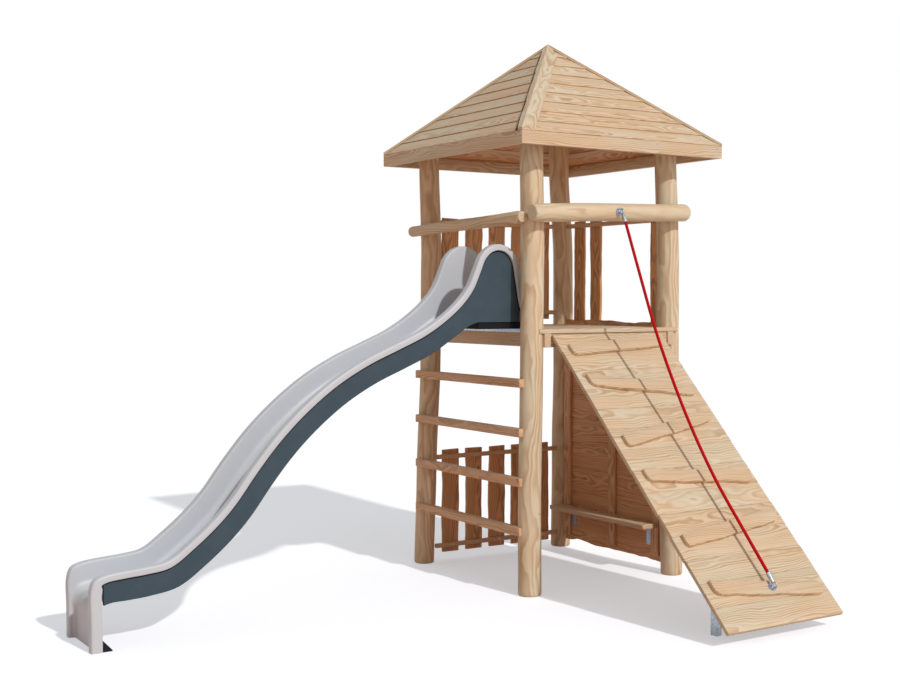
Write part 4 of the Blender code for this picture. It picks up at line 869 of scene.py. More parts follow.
def ramp_rail_axis(x):
    start, end, radius = RAMP_RAIL
    height = 2.140 + 0.034 * ((x - start) / (end - start) - 0.5) + waver(x, 0.4, 0.003)
    out = seat_of_rail(("front_post", "right_post"), 2.140, 1, (x + POST_X) / (2 * POST_X), radius)
    return Vector((x, waver(x, 1.9, 0.003) - out, height))


def slide_rail_axis(y):
    start, end, radius = SLIDE_RAIL
    height = 2.085 + 0.034 * ((end - y) / (end - start) - 0.5) + waver(y, 2.8, 0.003)
    out = seat_of_rail(("front_post", "left_post"), 2.085, 0, (y + POST_Y) / (2 * POST_Y), radius)
    return Vector((waver(y, 0.2, 0.003) - out, y, height))


def under_roof(point):
    """The height of the roof boards' underside over a point of the plan."""
    share = max(abs(point.x) / EAVE_X, abs(point.y) / EAVE_Y)
    return EAVE_TOP + ROOF_RISE * (1.0 - share) - 0.0255


class TOWER_OT_posts(bpy.types.Operator):
    """Four debarked log posts and the two log rails"""

    bl_idname = "tower.posts"
    bl_label = "Log posts and rails"

    def execute(self, context):
        step = context.scene.tower_woodwork.log_step
        sides = context.scene.tower_woodwork.log_sides
        places = [0.0, 0.003, 0.008] + steps_between(0.03, 2.60, step) + [2.66]
        for seed, (name, (side_x, side_y)) in enumerate(CORNERS.items()):
            lumber = Lumber()

            def radius(height):
                eased = {0.0: -0.007, 0.003: -0.003, 0.008: -0.0005}.get(height, 0.0)
                return POST_RADII[name] + waver(height, 3.0 * side_x - side_y, 0.0012) + eased

            lumber.log(lambda height: post_axis(name, height), radius, places, seed + 1, POST_PAINTED_SHADE[name])
            lumber.bm.verts.ensure_lookup_table()
            for corner in lumber.bm.verts[:sides]:
                corner.co.z = 0.0
            for corner in lumber.bm.verts[-sides:]:
                corner.co.z = under_roof(corner.co)
            lumber.finish("log_" + name, "log_wood", name, smooth=60.0)
        # The rails' last value is painted shade: the slide rail, on the shaded side, gets some of the heart colour
        self.add_rail(context, "ramp_rail", RAMP_RAIL, 0.7, ramp_rail_axis, 6, 0.0)
        self.add_rail(context, "slide_rail", SLIDE_RAIL, 1.3, slide_rail_axis, 7, 0.12)
        return {"FINISHED"}

    def add_rail(self, context, name, rail, phase, axis, seed, tone):
        start, end, thickness = rail
        rounding = thickness * 0.72
        places = [start, start + 0.002, start + 0.006, start + 0.016, start + 0.032]
        places += steps_between(start + 0.05, end - rounding, context.scene.tower_woodwork.log_step)
        places += [end - rounding * (1.0 - share) for share in (0.3, 0.55, 0.75, 0.88, 0.96, 0.995)]

        def radius(place):
            into = place - start
            tapered = 0.006 * max(0.0, 1.0 - into / 0.05) ** 2 + (0.004 if into < 0.001 else 0.0)
            beyond = max(0.0, place - (end - rounding)) / rounding
            return (thickness + waver(place, phase, 0.0015) - tapered) * math.sqrt(1.0 - beyond * beyond)

        lumber = Lumber()
        lumber.log(axis, radius, places, seed, tone)
        lumber.finish("log_" + name, "log_wood", name, smooth=60.0)


# Roof
ROOF_SIDES = {
    "slide_side": (math.pi / 2, EAVE_X, EAVE_Y),
    "ramp_side": (math.pi, EAVE_Y, EAVE_X),
    "wall_side": (-math.pi / 2, EAVE_X, EAVE_Y),
    "fence_side": (0.0, EAVE_Y, EAVE_X),
}
# Corner, the side the hip board lies on, which end of that side, and the waves of its grown edge
HIPS = (
    ("front", "ramp_side", 1, 0.4),
    ("right", "wall_side", 1, 1.7),
    ("back", "wall_side", -1, 2.6),
    ("left", "fence_side", -1, 3.3),
)
HIP_BOARD_WIDTH = 0.068
HIP_LATH_WIDTH = 0.030
HIP_BOARD_TOP = 0.0123
ROOF_LAP = 0.018
# How far a side's boards stop short of its two hips; at the front hip that leaves an open joint
HIP_JOINTS = {"slide_side": (0.0, 0.066), "ramp_side": (0.060, 0.0)}


def slope_frame(angle, half_depth):
    """A frame on a roof side: X along the eave, Y down the slope from the apex, Z off the boards."""
    slope = math.atan2(ROOF_RISE, half_depth)
    down = Vector((0.0, math.cos(slope), -math.sin(slope)))
    across = Matrix((Vector((-1.0, 0.0, 0.0)), down, Vector((0.0, math.sin(slope), math.cos(slope)))))
    apex = Matrix.Translation((0.0, 0.0, EAVE_TOP + ROOF_RISE))
    return turn(angle) @ apex @ across.transposed().to_4x4()


def hip_lines(side):
    """A roof side's frame, and on it the eave's corner, the direction along the hip and the one in from it."""
    angle, half_depth, half_width = ROOF_SIDES[side]
    corner = Vector((half_width, math.hypot(half_depth, ROOF_RISE)))
    along = corner.normalized()
    return slope_frame(angle, half_depth), corner, along, Vector((-along.y, along.x))


class TOWER_OT_roof(bpy.types.Operator):
    """Pyramid roof with lapped boards, hip boards and fascia boards"""

    bl_idname = "tower.roof"
    bl_label = "Roof"

    def execute(self, context):
        for seed, (name, (angle, half_depth, half_width)) in enumerate(ROOF_SIDES.items()):
            self.add_courses(context, name, slope_frame(angle, half_depth), half_depth, half_width, seed)
            along = ALONG_X if half_depth == EAVE_Y else ALONG_Y
            add_timber(name + "_fascia_board", name + "_fascia", along, 40 + seed)
        for corner, side, end, phase in HIPS:
            self.add_hip(corner + "_hip_board", side, end, phase, HIP_BOARD_WIDTH, corner + "_hip_board")
        self.add_hip("front_hip_lath", "slide_side", -1, 4.6, HIP_LATH_WIDTH)
        self.add_hip_shadow_strip()
        return {"FINISHED"}

    def add_courses(self, context, name, place, half_depth, half_width, seed):
        """The lapped boards of one side."""
        joints = HIP_JOINTS.get(name, (0.0, 0.0))
        courses = context.scene.tower_woodwork.roof_courses
        length = math.hypot(half_depth, ROOF_RISE)
        lumber = Lumber()
        for course in range(courses):
            high = length * course / courses
            low = length * (course + 1) / courses
            if course == courses - 1:
                low -= 0.006
            self.add_course(lumber, place, (high, low), half_width / length, 10 * seed + course, joints)
        lumber.finish(name + "_roof_boards", "roof_wood", name + "_roof_panel")

    def add_course(self, lumber, place, span, widening, seed, joints):
        """One lapped board; its ends are cut along the hips, so it widens down the slope."""
        high, low = span
        head = max(0.02, high - ROOF_LAP)
        edge = bark_edge(seed, 0.0035)
        pith = Vector((LOG_APART * seed + 3.0, (chance(seed, 4) - 0.5) * 0.12, 0.035 + 0.06 * chance(seed, 5)))
        count = max(8, round(2 * low * widening / 0.03))
        rings = []
        for i in range(count + 1):
            share = 2 * i / count - 1
            butt = low + edge(share * low * widening) * (0.0 if abs(share) == 1 else 1.0)
            section = (
                (head, -0.0068),
                (butt - 0.003, -0.0002),
                (butt - 0.001, -0.0008),
                (butt, -0.0026),
                (butt - 0.007, -0.0118),
                (head, -0.0176),
            )
            ring = []
            for down, off in section:
                short = 0.0006 + joints[share > 0.0]
                point = Vector((share * max(0.0, down * widening - short), down, off))
                ring.append((place @ point, point + pith - Vector((0.0, (high + low) / 2, 0.0))))
            rings.append(ring)
        lumber.skin(rings, 0.10 * chance(seed, 6))
        # Painted shadow: the corners of each butt edge get a high tone value, so the heart colour and darker rings
        # mark every lap line as the shadow under the board
        corners = len(section)
        lumber.bm.verts.ensure_lookup_table()
        for index, corner in enumerate(lumber.bm.verts[-len(rings) * corners :]):
            if index % corners in (3, 4):
                corner[lumber.tone] = 0.9

    def add_hip_shadow_strip(self):
        """A black strip under the open joint beside the front hip: painted shadow, standing in for the shade in that
        joint.
        """
        place, corner, along, inward = hip_lines("slide_side")
        rings = []
        for reach in steps_between(0.09, corner.length - 0.02, 0.05):
            ring = []
            for across, off in ((0.006, -0.0150), (0.006, -0.0130), (0.054, -0.0130), (0.054, -0.0150)):
                flat = along * reach + inward * across
                point = place @ Vector((flat.x, flat.y, off))
                ring.append((point, point))
            rings.append(ring)
        lumber = Lumber()
        lumber.skin(rings, 0.0)
        lumber.finish("front_hip_felt", "seat_base_plastic")

    def add_hip(self, name, side, end, phase, width, *replaced):
        """A board that lies on one roof side along its hip, with one edge as the tree grew."""
        angle, half_depth, half_width = ROOF_SIDES[side]
        place, corner, along, inward = hip_lines(side)
        grown = bark_edge(phase, 0.008)
        rings = []
        for reach in steps_between(-0.02, corner.length + 0.06, 0.025):
            inner = width + grown(reach)
            section = (
                (-0.03, CLEARANCE),
                (-0.03, HIP_BOARD_TOP),
                (inner - 0.004, HIP_BOARD_TOP),
                (inner, 0.0085),
                (inner, CLEARANCE),
            )
            ring = []
            for across, off in section:
                flat = along * reach + inward * across
                wood = Vector((reach + 9.0 * phase, across - 0.03, off + 0.055))
                ring.append((place @ Vector((-end * flat.x, flat.y, off)), wood))
            rings.append(ring)
        lumber = Lumber()
        lumber.skin(rings, 0.05)
        spin = Matrix.Rotation(angle, 3, "Z")
        planes = (
            (Vector(), spin @ Vector((end * half_depth, -half_width, 0.0))),
            (Vector(), spin @ Vector((-end, 0.0, 0.0))),
            (spin @ Vector((0.0, half_depth, 0.0)), spin @ Vector(ALONG_Y)),
        )
        for point, normal in planes:
            geometry = lumber.bm.verts[:] + lumber.bm.edges[:] + lumber.bm.faces[:]
            cut = bmesh.ops.bisect_plane(lumber.bm, geom=geometry, plane_co=point, plane_no=normal, clear_outer=True)
            edges = [item for item in cut["geom_cut"] if isinstance(item, bmesh.types.BMEdge)]
            bmesh.ops.holes_fill(lumber.bm, edges=edges)
        lumber.finish(name + "_trim", "roof_wood", *replaced)


# Deck, beams and rungs
DECK_BOARDS = 10
DECK_DEPTH = 1.220
# Name, grain direction and painted shade of the timbers under the deck: the last value is their share of the heart
# colour, larger where they stand in shade
FRAME_TIMBERS = (
    ("slide_side_joist", ALONG_Y, 0.1),
    ("wall_side_joist", ALONG_Y, 0.1),
    ("front_beam", ALONG_X, 0.1),
    ("back_beam", ALONG_X, 0.3),
)
RUNG_X = -0.5838
RUNG_SIZE = (1.1118, 0.048, 0.045)
RUNG_HEIGHTS = (0.359, 0.6343, 0.9097, 1.185)


class TOWER_OT_deck(bpy.types.Operator):
    """Deck boards with joists and beams, and the ladder rungs under the slide"""

    bl_idname = "tower.deck"
    bl_label = "Deck and rungs"

    def execute(self, context):
        lumber = Lumber()
        pitch = DECK_DEPTH / DECK_BOARDS
        for index in range(DECK_BOARDS):
            place = Matrix.Translation((0.0, pitch * (index + 0.5) - DECK_DEPTH / 2, DECK_TOP - 0.012))
            width = pitch - (0.004 if 0 < index < DECK_BOARDS - 1 else 0.002)
            lumber.board(place, (1.012, width, 0.0238), 60 + index, 0.04 * chance(index, 3), edge=0.0025)
        lumber.finish("deck_boards", "board_wood", "deck")
        for seed, (node, along, tone) in enumerate(FRAME_TIMBERS):
            add_timber(node + "_timber", node, along, 75 + seed, tone)
        # The rungs stand in shade under the deck; their tone value paints that shade with the heart colour
        for index, height in enumerate(RUNG_HEIGHTS):
            place = frame_of((RUNG_X, 0.0, height), ALONG_Y, UPWARD)
            name, node = f"ladder_rung_{index + 1}", f"rung_{index + 1}"
            add_board(name, node, place, RUNG_SIZE, 81 + index, 0.4, edge=0.004)
        return {"FINISHED"}


# Fences, wall and bench
# Name, height of the pickets' foot and top, heights of the two rails, and seed
FENCES = (
    ("lower_fence", (0.050, 0.705), (0.100, 0.660), 100),
    ("upper_fence", (1.518, 2.160), (1.563, 2.127), 120),
)
FENCE_Y = 0.545
FENCE_RAIL_Y = 0.523
PICKET_PLACES = [-0.355 + 0.1775 * index for index in range(5)]
WALL_SIDE_PICKETS = ((-0.401, 0.122), (0.1925, 0.101), (0.359, 0.102))
WALL_SIDE_RAIL = 2.127
WALL_SIDE_SPAN = (1.410, 2.160)
WALL_BOTTOM = 0.064
WALL_TOP = 1.512
WALL_BOARDS = 9
WALL_X = 0.5153
BATTENS = (-0.432, -0.025, 0.432)
BATTEN_X = 0.4963
WALL_SCREW_PITCH = 0.1609
BENCH_PLACE = (0.428, 0.0, 0.282)
BENCH_SIZE = (0.930, 0.116, 0.028)


def add_picket(lumber, foot, across, span, width, seed, tone):
    """An upright board with both long edges as the tree grew and a slightly slanted top."""
    bottom, top = span
    height = top - bottom
    place = frame_of(Vector(foot) + Vector((0, 0, (bottom + top) / 2)), UPWARD, across)
    slant = 0.10 * (chance(seed, 8) - 0.5)
    low = bark_edge(seed, 0.010)
    high = bark_edge(seed + 0.5, 0.010)

    def ends(y):
        return slant * y * 0.5 + 0.002, slant * y + 0.003

    lumber.board(place, (height, width, 0.018), seed, tone, low, high, ends)


class TOWER_OT_fences(bpy.types.Operator):
    """Picket fences on two sides"""

    bl_idname = "tower.fences"
    bl_label = "Picket fences"

    def execute(self, context):
        for name, span, rails, seed in FENCES:
            lumber = Lumber()
            # The pickets and rails stand in shade under the roof; their tone values paint that shade with the heart
            # colour
            for index, centre in enumerate(PICKET_PLACES):
                add_picket(lumber, (centre, FENCE_Y, 0.0), ALONG_X, span, 0.120, seed + index, 0.7)
            for index, height in enumerate(rails):
                place = frame_of((0.0, FENCE_RAIL_Y, height), ALONG_X, ALONG_Y)
                lumber.board(place, (0.96, 0.026, 0.028), seed + 8 + index, 0.35, edge=0.006)
            lumber.finish(name + "_pickets", "board_wood", name)
        lumber = Lumber()
        # Painted shade here too: the wall side's pickets and rail get the same share of the heart colour
        for index, (centre, width) in enumerate(WALL_SIDE_PICKETS):
            add_picket(lumber, (0.5336, centre, 0.0), ALONG_Y, WALL_SIDE_SPAN, width, 140 + index, 0.7)
        place = frame_of((0.5116, 0.0, WALL_SIDE_RAIL), ALONG_Y, ALONG_X)
        lumber.board(place, (0.98, 0.026, 0.028), 148, 0.35, edge=0.006)
        lumber.finish("wall_side_pickets", "board_wood", "wall_side_fence")
        return {"FINISHED"}


class TOWER_OT_wall(bpy.types.Operator):
    """Board wall with battens, and the bench on its brackets"""

    bl_idname = "tower.wall"
    bl_label = "Board wall and bench"

    def execute(self, context):
        lumber = Lumber()
        pitch = (WALL_TOP - WALL_BOTTOM) / WALL_BOARDS
        # The wall's boards and battens stand in shade under the deck; their tone values paint that shade with the
        # heart colour
        for index in range(WALL_BOARDS):
            place = frame_of((WALL_X, 0.0, WALL_BOTTOM + pitch * (index + 0.5)), ALONG_Y, UPWARD)
            low = bark_edge(5.5, 0.020) if index == 0 else None
            high = bark_edge(9.2, 0.020) if index == WALL_BOARDS - 1 else None
            lumber.board(place, (0.936, pitch - 0.0012, 0.018), 160 + index, 0.65, low, high, edge=0.0012)
        for index, centre in enumerate(BATTENS):
            place = frame_of((BATTEN_X, centre, 0.7395), UPWARD, ALONG_Y)
            low = bark_edge(index + 0.3, 0.004)
            high = bark_edge(index + 2.3, 0.004)
            lumber.board(place, (1.290, 0.066, 0.0198), 175 + index, 0.5, low, high)
        lumber.finish("wall_boards", "board_wood", "board_wall")
        # The bench gets a little painted shade with the heart colour, as it sits in shade by the wall
        place = frame_of(BENCH_PLACE, ALONG_Y, ALONG_X)
        add_board("bench_seat", "bench_board", place, BENCH_SIZE, 180, 0.15, edge=0.004)
        return {"FINISHED"}


# Ramp
# How far down the slope each cleat's lower edge lies at its left end, middle and right end
CLEATS = (
    (0.179, 0.151, 0.129),
    (0.401, 0.459, 0.509),
    (0.834, 0.762, 0.687),
    (1.057, 1.096, 1.125),
    (1.472, 1.426, 1.385),
    (1.747, 1.802, 1.837),
)
CLEAT_ENDS = (-0.368, 0.330)
CLEAT_WIDTH = 0.078
CLEAT_THICKNESS = 0.022
CLEAT_CORNER = 0.032
RAMP_BOARD = 0.021


class TOWER_OT_ramp(bpy.types.Operator):
    """Climbing ramp: planks on two stringers with slanted foot cleats"""

    bl_idname = "tower.ramp"
    bl_label = "Climbing ramp"

    def execute(self, context):
        planks = context.scene.tower_woodwork.ramp_planks
        left, right = RAMP_SIDES
        lumber = Lumber()
        pitch = RAMP_LENGTH / planks
        grown = bark_edge(3.0, 0.008)
        for index in range(planks):
            middle = -pitch * (index + 0.5)
            stray = 0.005 * (chance(index, 31) - 0.5)
            place = RAMP_FRAME @ Matrix.Translation(((left + right) / 2 + stray, middle, -RAMP_BOARD / 2))
            high = (lambda x: grown(x) - 0.009) if index == 0 else None
            size = (right - left + 0.005 * (chance(index, 33) - 0.5), pitch - 0.0010, RAMP_BOARD)
            lumber.board(place, size, 200 + index, 0.05 * chance(index, 35), high=high, edge=0.0014)
        lumber.finish("ramp_planks", "board_wood", "ramp_boards")
        # The stringers under the planks stand in shade; their tone value paints that shade with the heart colour
        for seed, node in enumerate(("ramp_stringer_left", "ramp_stringer_right")):
            add_timber(node + "_timber", node, (0.0, 1.0, 1.0), 220 + seed, 0.2)
        for index, drops in enumerate(CLEATS):
            self.add_cleat(index, drops)
        return {"FINISHED"}

    def add_cleat(self, index, drops):
        """A cleat with a grown lower edge that turns up in a round corner at its left end."""
        start, end = CLEAT_ENDS
        length = end - start
        middle = (start + end) / 2
        grown = bark_edge(index + 0.7, 0.013)
        upper = bark_edge(index + 4.7, 0.010)
        first, halfway, last = drops

        def lower_edge(x):
            share = (x + length / 2) / length
            bow = first * (1 - share) * (1 - 2 * share) + 4 * halfway * share * (1 - share)
            return -(bow + last * share * (2 * share - 1)) + grown(x)

        def low(x):
            rise = 0.0
            for into, reach in ((x + length / 2, CLEAT_CORNER), (length / 2 - x, 0.05)):
                short = max(0.0, 1.0 - into / reach)
                rise += reach * 0.9 * (1.0 - math.sqrt(max(0.0, 1.0 - short * short)))
            return lower_edge(x) + rise + CLEAT_WIDTH / 2

        def high(x):
            short = max(0.0, 1.0 - (length / 2 - x) / 0.05)
            return lower_edge(x) + CLEAT_WIDTH / 2 + upper(x) - 0.02 * short * short

        place = RAMP_FRAME @ Matrix.Translation((middle, 0.0, CLEARANCE + CLEAT_THICKNESS / 2))
        size = (length, CLEAT_WIDTH, CLEAT_THICKNESS)
        name, node = f"foot_cleat_{index + 1}", f"ramp_cleat_{index + 1}"
        # The cleats get a little painted shade with the heart colour, for their shaded lower edges
        add_board(name, node, place, size, 230 + index, 0.12, low, high, edge=0.003, step=0.008)


# Slide: its own frame has +X from the deck's edge toward the run-out and the middle of the bed at Y = 0
SLIDE_FRAME = TOWER @ turn(math.pi, (-0.506, -0.2475, 0.0))
SLIDE_WIDTH = 0.407
SLIDE_REACH = 2.460
SEAT_HEIGHT = 1.5341
BED_THICKNESS = 0.012
LIP_WIDTH = 0.050
LIP_DEPTH = 0.035
LIP_ROUND = 0.011
LIP_EDGE = 0.004
LEG_DEPTH = 0.055
CHUTE_DEPTH = 0.131
SEAT_END = 0.294
RUN_OUT_RIM = 0.396
# The side panels end at this height over the ground
PANEL_END = 0.2
SIDE_PANEL_THICKNESS = 0.024
# How far below the lip a side panel's top edge lies; a black strip fills that gap as painted shadow under the lip
PANEL_DROP = 0.009
HOOP = (
    (-0.019, 0.038),
    (-0.014, 0.085),
    (-0.006, 0.142),
    (0.012, 0.240),
    (0.032, 0.330),
    (0.066, 0.382),
    (0.116, 0.413),
    (0.172, 0.420),
    (0.230, 0.402),
    (0.281, 0.354),
    (0.318, 0.275),
    (0.362, 0.185),
    (0.425, 0.110),
)
SLOPE = (
    (0.060, 0.065),
    (0.138, 0.128),
    (0.235, 0.184),
    (0.343, 0.244),
    (0.456, 0.326),
    (0.564, 0.432),
    (0.656, 0.546),
    (0.736, 0.669),
    (0.803, 0.784),
    (0.856, 0.857),
    (0.934, 0.942),
)
RUN_OUT = (
    (0.376, RUN_OUT_RIM),
    (0.277, 0.380),
    (0.166, 0.372),
    (0.070, 0.361),
    (0.020, 0.340),
    (0.000, 0.288),
    (0.000, 0.150),
    (0.000, 0.000),
)
FRONT_STATIONS = 5
FINENESS = 6


def inward_normals(line):
    return [Vector((tangent.y, -tangent.x)) for tangent in tangents(line)]


def rim_stations():
    """The lip's top line from the deck to the ground."""
    hoop = [(x, SEAT_HEIGHT + rise) for x, rise in HOOP]
    start_x, start_z = hoop[-1]
    run = SLIDE_REACH - RUN_OUT[0][0] - start_x
    drop = start_z - RUN_OUT_RIM
    slope = [(start_x + run * along, start_z - drop * down) for along, down in SLOPE]
    return hoop + slope + [(SLIDE_REACH - back, height) for back, height in RUN_OUT]


def bed_stations(rim):
    """The bed's line: the flat seat, a constant depth under the lip, then the front apron."""
    normals = inward_normals([Vector(point) for point in rim])
    seat_count = len(HOOP) - 1
    start = HOOP[0][0]
    bed = [(start + (SEAT_END - start) * i / (seat_count - 1), SEAT_HEIGHT) for i in range(seat_count)]
    bed.append((0.359, SEAT_HEIGHT - 0.021))
    for i in range(seat_count + 1, len(rim) - FRONT_STATIONS):
        point = Vector(rim[i]) + normals[i] * CHUTE_DEPTH
        bed.append((point.x, point.y))
    apron = SLIDE_REACH - 0.030
    bend = bed[-1][1]
    bed += [(apron - 0.064, bend - 0.004), (apron - 0.022, bend - 0.020), (apron, bend - 0.062)]
    return bed + [(apron, bend / 2), (apron, 0.0)]


def slide_lines():
    """Matched points along rim and bed, with the rim's inward normals and the lip's depth."""
    stations = rim_stations()
    rim = smooth_line(stations, FINENESS)
    bed = smooth_line(bed_stations(stations), FINENESS)
    normals = inward_normals(rim)
    early = 2 * FINENESS
    for i in range(early):
        normals[i] = Vector((0.0, -1.0)).lerp(normals[i], i / early).normalized()
    for line in (rim, bed):
        line[-1].y = 0.0
    normals[-1] = Vector((-1.0, 0.0))
    leg_start = FINENESS * (len(stations) - FRONT_STATIONS)
    depths = []
    for i in range(len(rim)):
        share = min(1.0, max(0.0, (i - leg_start) / (2 * FINENESS)))
        share = share * share * (3 - 2 * share)
        depths.append(LIP_DEPTH + (LEG_DEPTH - LIP_DEPTH) * share)
    return rim, normals, bed, depths


def quarter(steps):
    """Cosine and sine at even steps over a quarter turn."""
    angles = [math.pi / 2 * k / (steps - 1) for k in range(steps)]
    return [(math.cos(angle), math.sin(angle)) for angle in angles]


def chute_section(rim, inward, bed, lip_depth):
    """One closed section of the chute: inner face, rounded lip and outer face."""
    wall_in = SLIDE_WIDTH / 2 - LIP_WIDTH
    wall_out = wall_in + BED_THICKNESS
    edge = SLIDE_WIDTH / 2
    up = (rim - bed).normalized()
    height = (rim - bed).length
    fillet = min(0.050, 0.8 * (height - LIP_ROUND))
    outer = max(0.0, min(fillet, height - lip_depth - 0.002))
    low = bed - up * BED_THICKNESS
    half = []
    for cosine, sine in quarter(9):
        half.append((wall_in - fillet * (1 - sine), bed + up * fillet * (1 - cosine)))
    for cosine, sine in quarter(6):
        half.append((wall_in + LIP_ROUND * (1 - cosine), rim + inward * LIP_ROUND * (1 - sine)))
    for cosine, sine in quarter(6):
        half.append((edge - LIP_ROUND * (1 - sine), rim + inward * LIP_ROUND * (1 - cosine)))
    for cosine, sine in quarter(4):
        half.append((edge - LIP_EDGE * (1 - cosine), rim + inward * (lip_depth - LIP_EDGE * (1 - sine))))
    half.append((wall_out, rim + inward * lip_depth))
    for cosine, sine in quarter(5):
        half.append((wall_out - fillet * (1 - cosine), low + up * (outer + BED_THICKNESS) * (1 - sine)))
    ring = [(point.x, y, point.y) for y, point in half]
    ring += [(point.x, -y, point.y) for y, point in reversed(half)]
    return ring


def closed_skin(rings):
    bm = bmesh.new()
    bridge(bm, [[bm.verts.new(point) for point in ring] for ring in rings])
    bmesh.ops.remove_doubles(bm, verts=bm.verts, dist=SAME_POINT)
    bmesh.ops.recalc_face_normals(bm, faces=bm.faces)
    return bm


def eased(piece, width, segments=3):
    """Round a piece's edges with a live bevel."""
    modifier = piece.modifiers.new("eased_edges", "BEVEL")
    modifier.width = width
    modifier.segments = segments
    modifier.limit_method = "ANGLE"
    modifier.angle_limit = math.radians(40)
    modifier.harden_normals = False


def prism(outline, thickness, name, place):
    """A flat piece of one thickness on its middle plane, from its outline."""
    bm = bmesh.new()
    face = bm.faces.new([bm.verts.new((x, y, -thickness / 2)) for x, y in outline])
    grown = bmesh.ops.extrude_face_region(bm, geom=[face])
    moved = [item for item in grown["geom"] if isinstance(item, bmesh.types.BMVert)]
    bmesh.ops.translate(bm, verts=moved, vec=(0.0, 0.0, thickness))
    bmesh.ops.recalc_face_normals(bm, faces=bm.faces)
    return to_mesh(bm, name, place)


class TOWER_OT_slide(bpy.types.Operator):
    """Moulded slide with its side panels, seat base and foot brackets"""

    bl_idname = "tower.slide"
    bl_label = "Slide"

    def execute(self, context):
        rim, normals, bed, depths = slide_lines()
        rings = [chute_section(*station) for station in zip(rim, normals, bed, depths)]
        mesh = to_mesh(closed_skin(rings), "chute", SLIDE_FRAME)
        add_piece("chute", mesh, "chute_plastic", "slide_chute", smooth=35.0)
        outline, shadow_strip_outline = self.panel_outlines(rim, normals, bed)
        middle = SLIDE_WIDTH / 2 - (LIP_WIDTH - BED_THICKNESS - CLEARANCE) + SIDE_PANEL_THICKNESS / 2
        for name, side in (("near", 1), ("far", -1)):
            upright = Matrix.Translation((0.0, side * middle, 0.0)) @ Matrix.Rotation(math.pi / 2, 4, "X")
            panel, strip = "side_panel_" + name, "panel_seal_" + name
            mesh = prism(outline, SIDE_PANEL_THICKNESS, panel, SLIDE_FRAME @ upright)
            eased(add_piece(panel, mesh, "side_panel_plastic", "slide_" + panel), 0.003)
            # Painted shadow: a black strip in the gap under the lip, where the lip casts its shade
            mesh = prism(shadow_strip_outline, SIDE_PANEL_THICKNESS - 0.003, strip, SLIDE_FRAME @ upright)
            add_piece(strip, mesh, "seat_base_plastic")
        refinish("seat_base_plastic", "slide_seat_base", "slide_gusset_near", "slide_gusset_far")
        return {"FINISHED"}

    def panel_outlines(self, rim, normals, bed):
        """The outline of a side panel, and of the black strip between its top edge and the chute's lip, which stands
        in for the shadow under the lip.
        """
        front = SLIDE_REACH - 0.066
        foot = HOOP[0][0] + LIP_DEPTH + 0.004
        under_lip = []
        top = []
        for crest, inward in zip(rim, normals):
            point = crest + inward * (LIP_DEPTH + PANEL_DROP)
            beside_seat = point.y > SEAT_HEIGHT + 0.05 or point.x > SEAT_END
            if crest.x < front and point.x < front - 0.01 and point.y > PANEL_END and beside_seat:
                under_lip.append(crest + inward * (LIP_DEPTH + 0.0005))
                top.append(point)
        low = [b - (r - b).normalized() * BED_THICKNESS for r, b in zip(rim, bed)]
        low = [point for point in low if foot + 0.02 < point.x < front and point.y > PANEL_END]
        corners = [(front, top[-1].y - 0.002), (front, low[-1].y)]
        outline = [(foot, 1.5224)] + [tuple(point) for point in top] + corners
        shadow_strip_outline = [tuple(point) for point in under_lip + top[::-1]]
        return outline + [tuple(point) for point in reversed(low)], shadow_strip_outline


# Fittings
# Outlines of turned parts as (radius, height) from the axis out and back to it
PLATE_PROFILE = (
    (0.0, CLEARANCE),
    (0.0212, CLEARANCE),
    (0.0225, 0.0014),
    (0.0225, 0.0030),
    (0.0212, 0.0043),
    (0.0, 0.0043),
)
BOSS_PROFILE = ((0.0, 0.004), (0.0085, 0.004), (0.0078, 0.0075), (0.0050, 0.0090), (0.0, 0.0092))
SLEEVE_PROFILE = (
    (0.0, 0.0),
    (0.0070, 0.001),
    (0.0090, FERRULE_LENGTH * 0.14),
    (0.0104, FERRULE_LENGTH * 0.45),
    (0.0118, FERRULE_LENGTH * 0.70),
    (0.0120, FERRULE_LENGTH - 0.0010),
    (0.0112, FERRULE_LENGTH),
    (0.0, FERRULE_LENGTH),
)
SCREW_PROFILE = (
    (0.0, 0.0007),
    (0.0017, 0.0007),
    (0.0019, 0.0020),
    (0.0034, 0.0016),
    (0.0043, 0.0007),
    (0.0044, -0.0004),
    (0.0, -0.0006),
)


def turned(profile, place, sides=32):
    """A solid turned round Z from (radius, height) pairs, starting and ending on the axis."""
    bm = bmesh.new()
    rows = []
    for radius, height in profile:
        if radius == 0.0:
            rows.append([bm.verts.new((0.0, 0.0, height))])
            continue
        rows.append([bm.verts.new((radius * cosine, radius * sine, height)) for cosine, sine in circle(sides)])
    for row, following in zip(rows, rows[1:]):
        for k in range(sides):
            corners = [row[k % len(row)], row[(k + 1) % len(row)]]
            corners += [following[(k + 1) % len(following)], following[k % len(following)]]
            bm.faces.new([corner for i, corner in enumerate(corners) if corner not in corners[:i]])
    bmesh.ops.recalc_face_normals(bm, faces=bm.faces)
    return to_mesh(bm, "turned", place)


def ring_mesh(radius, wire, place, turns=40, sides=14):
    """A closed ring of round wire in the XY plane."""
    bm = bmesh.new()
    rows = []
    for cosine, sine in circle(turns):
        out = Vector((cosine, sine, 0.0))
        row = []
        for near, off in circle(sides):
            row.append(bm.verts.new(out * (radius + wire * near) + Vector((0, 0, wire * off))))
        rows.append(row)
    bridge(bm, rows + rows[:1], capped=False)
    bmesh.ops.recalc_face_normals(bm, faces=bm.faces)
    return to_mesh(bm, "ring", place)


def joined(meshes, name):
    bm = bmesh.new()
    for mesh in meshes:
        bm.from_mesh(mesh)
        bpy.data.meshes.remove(mesh)
    return to_mesh(bm, name)


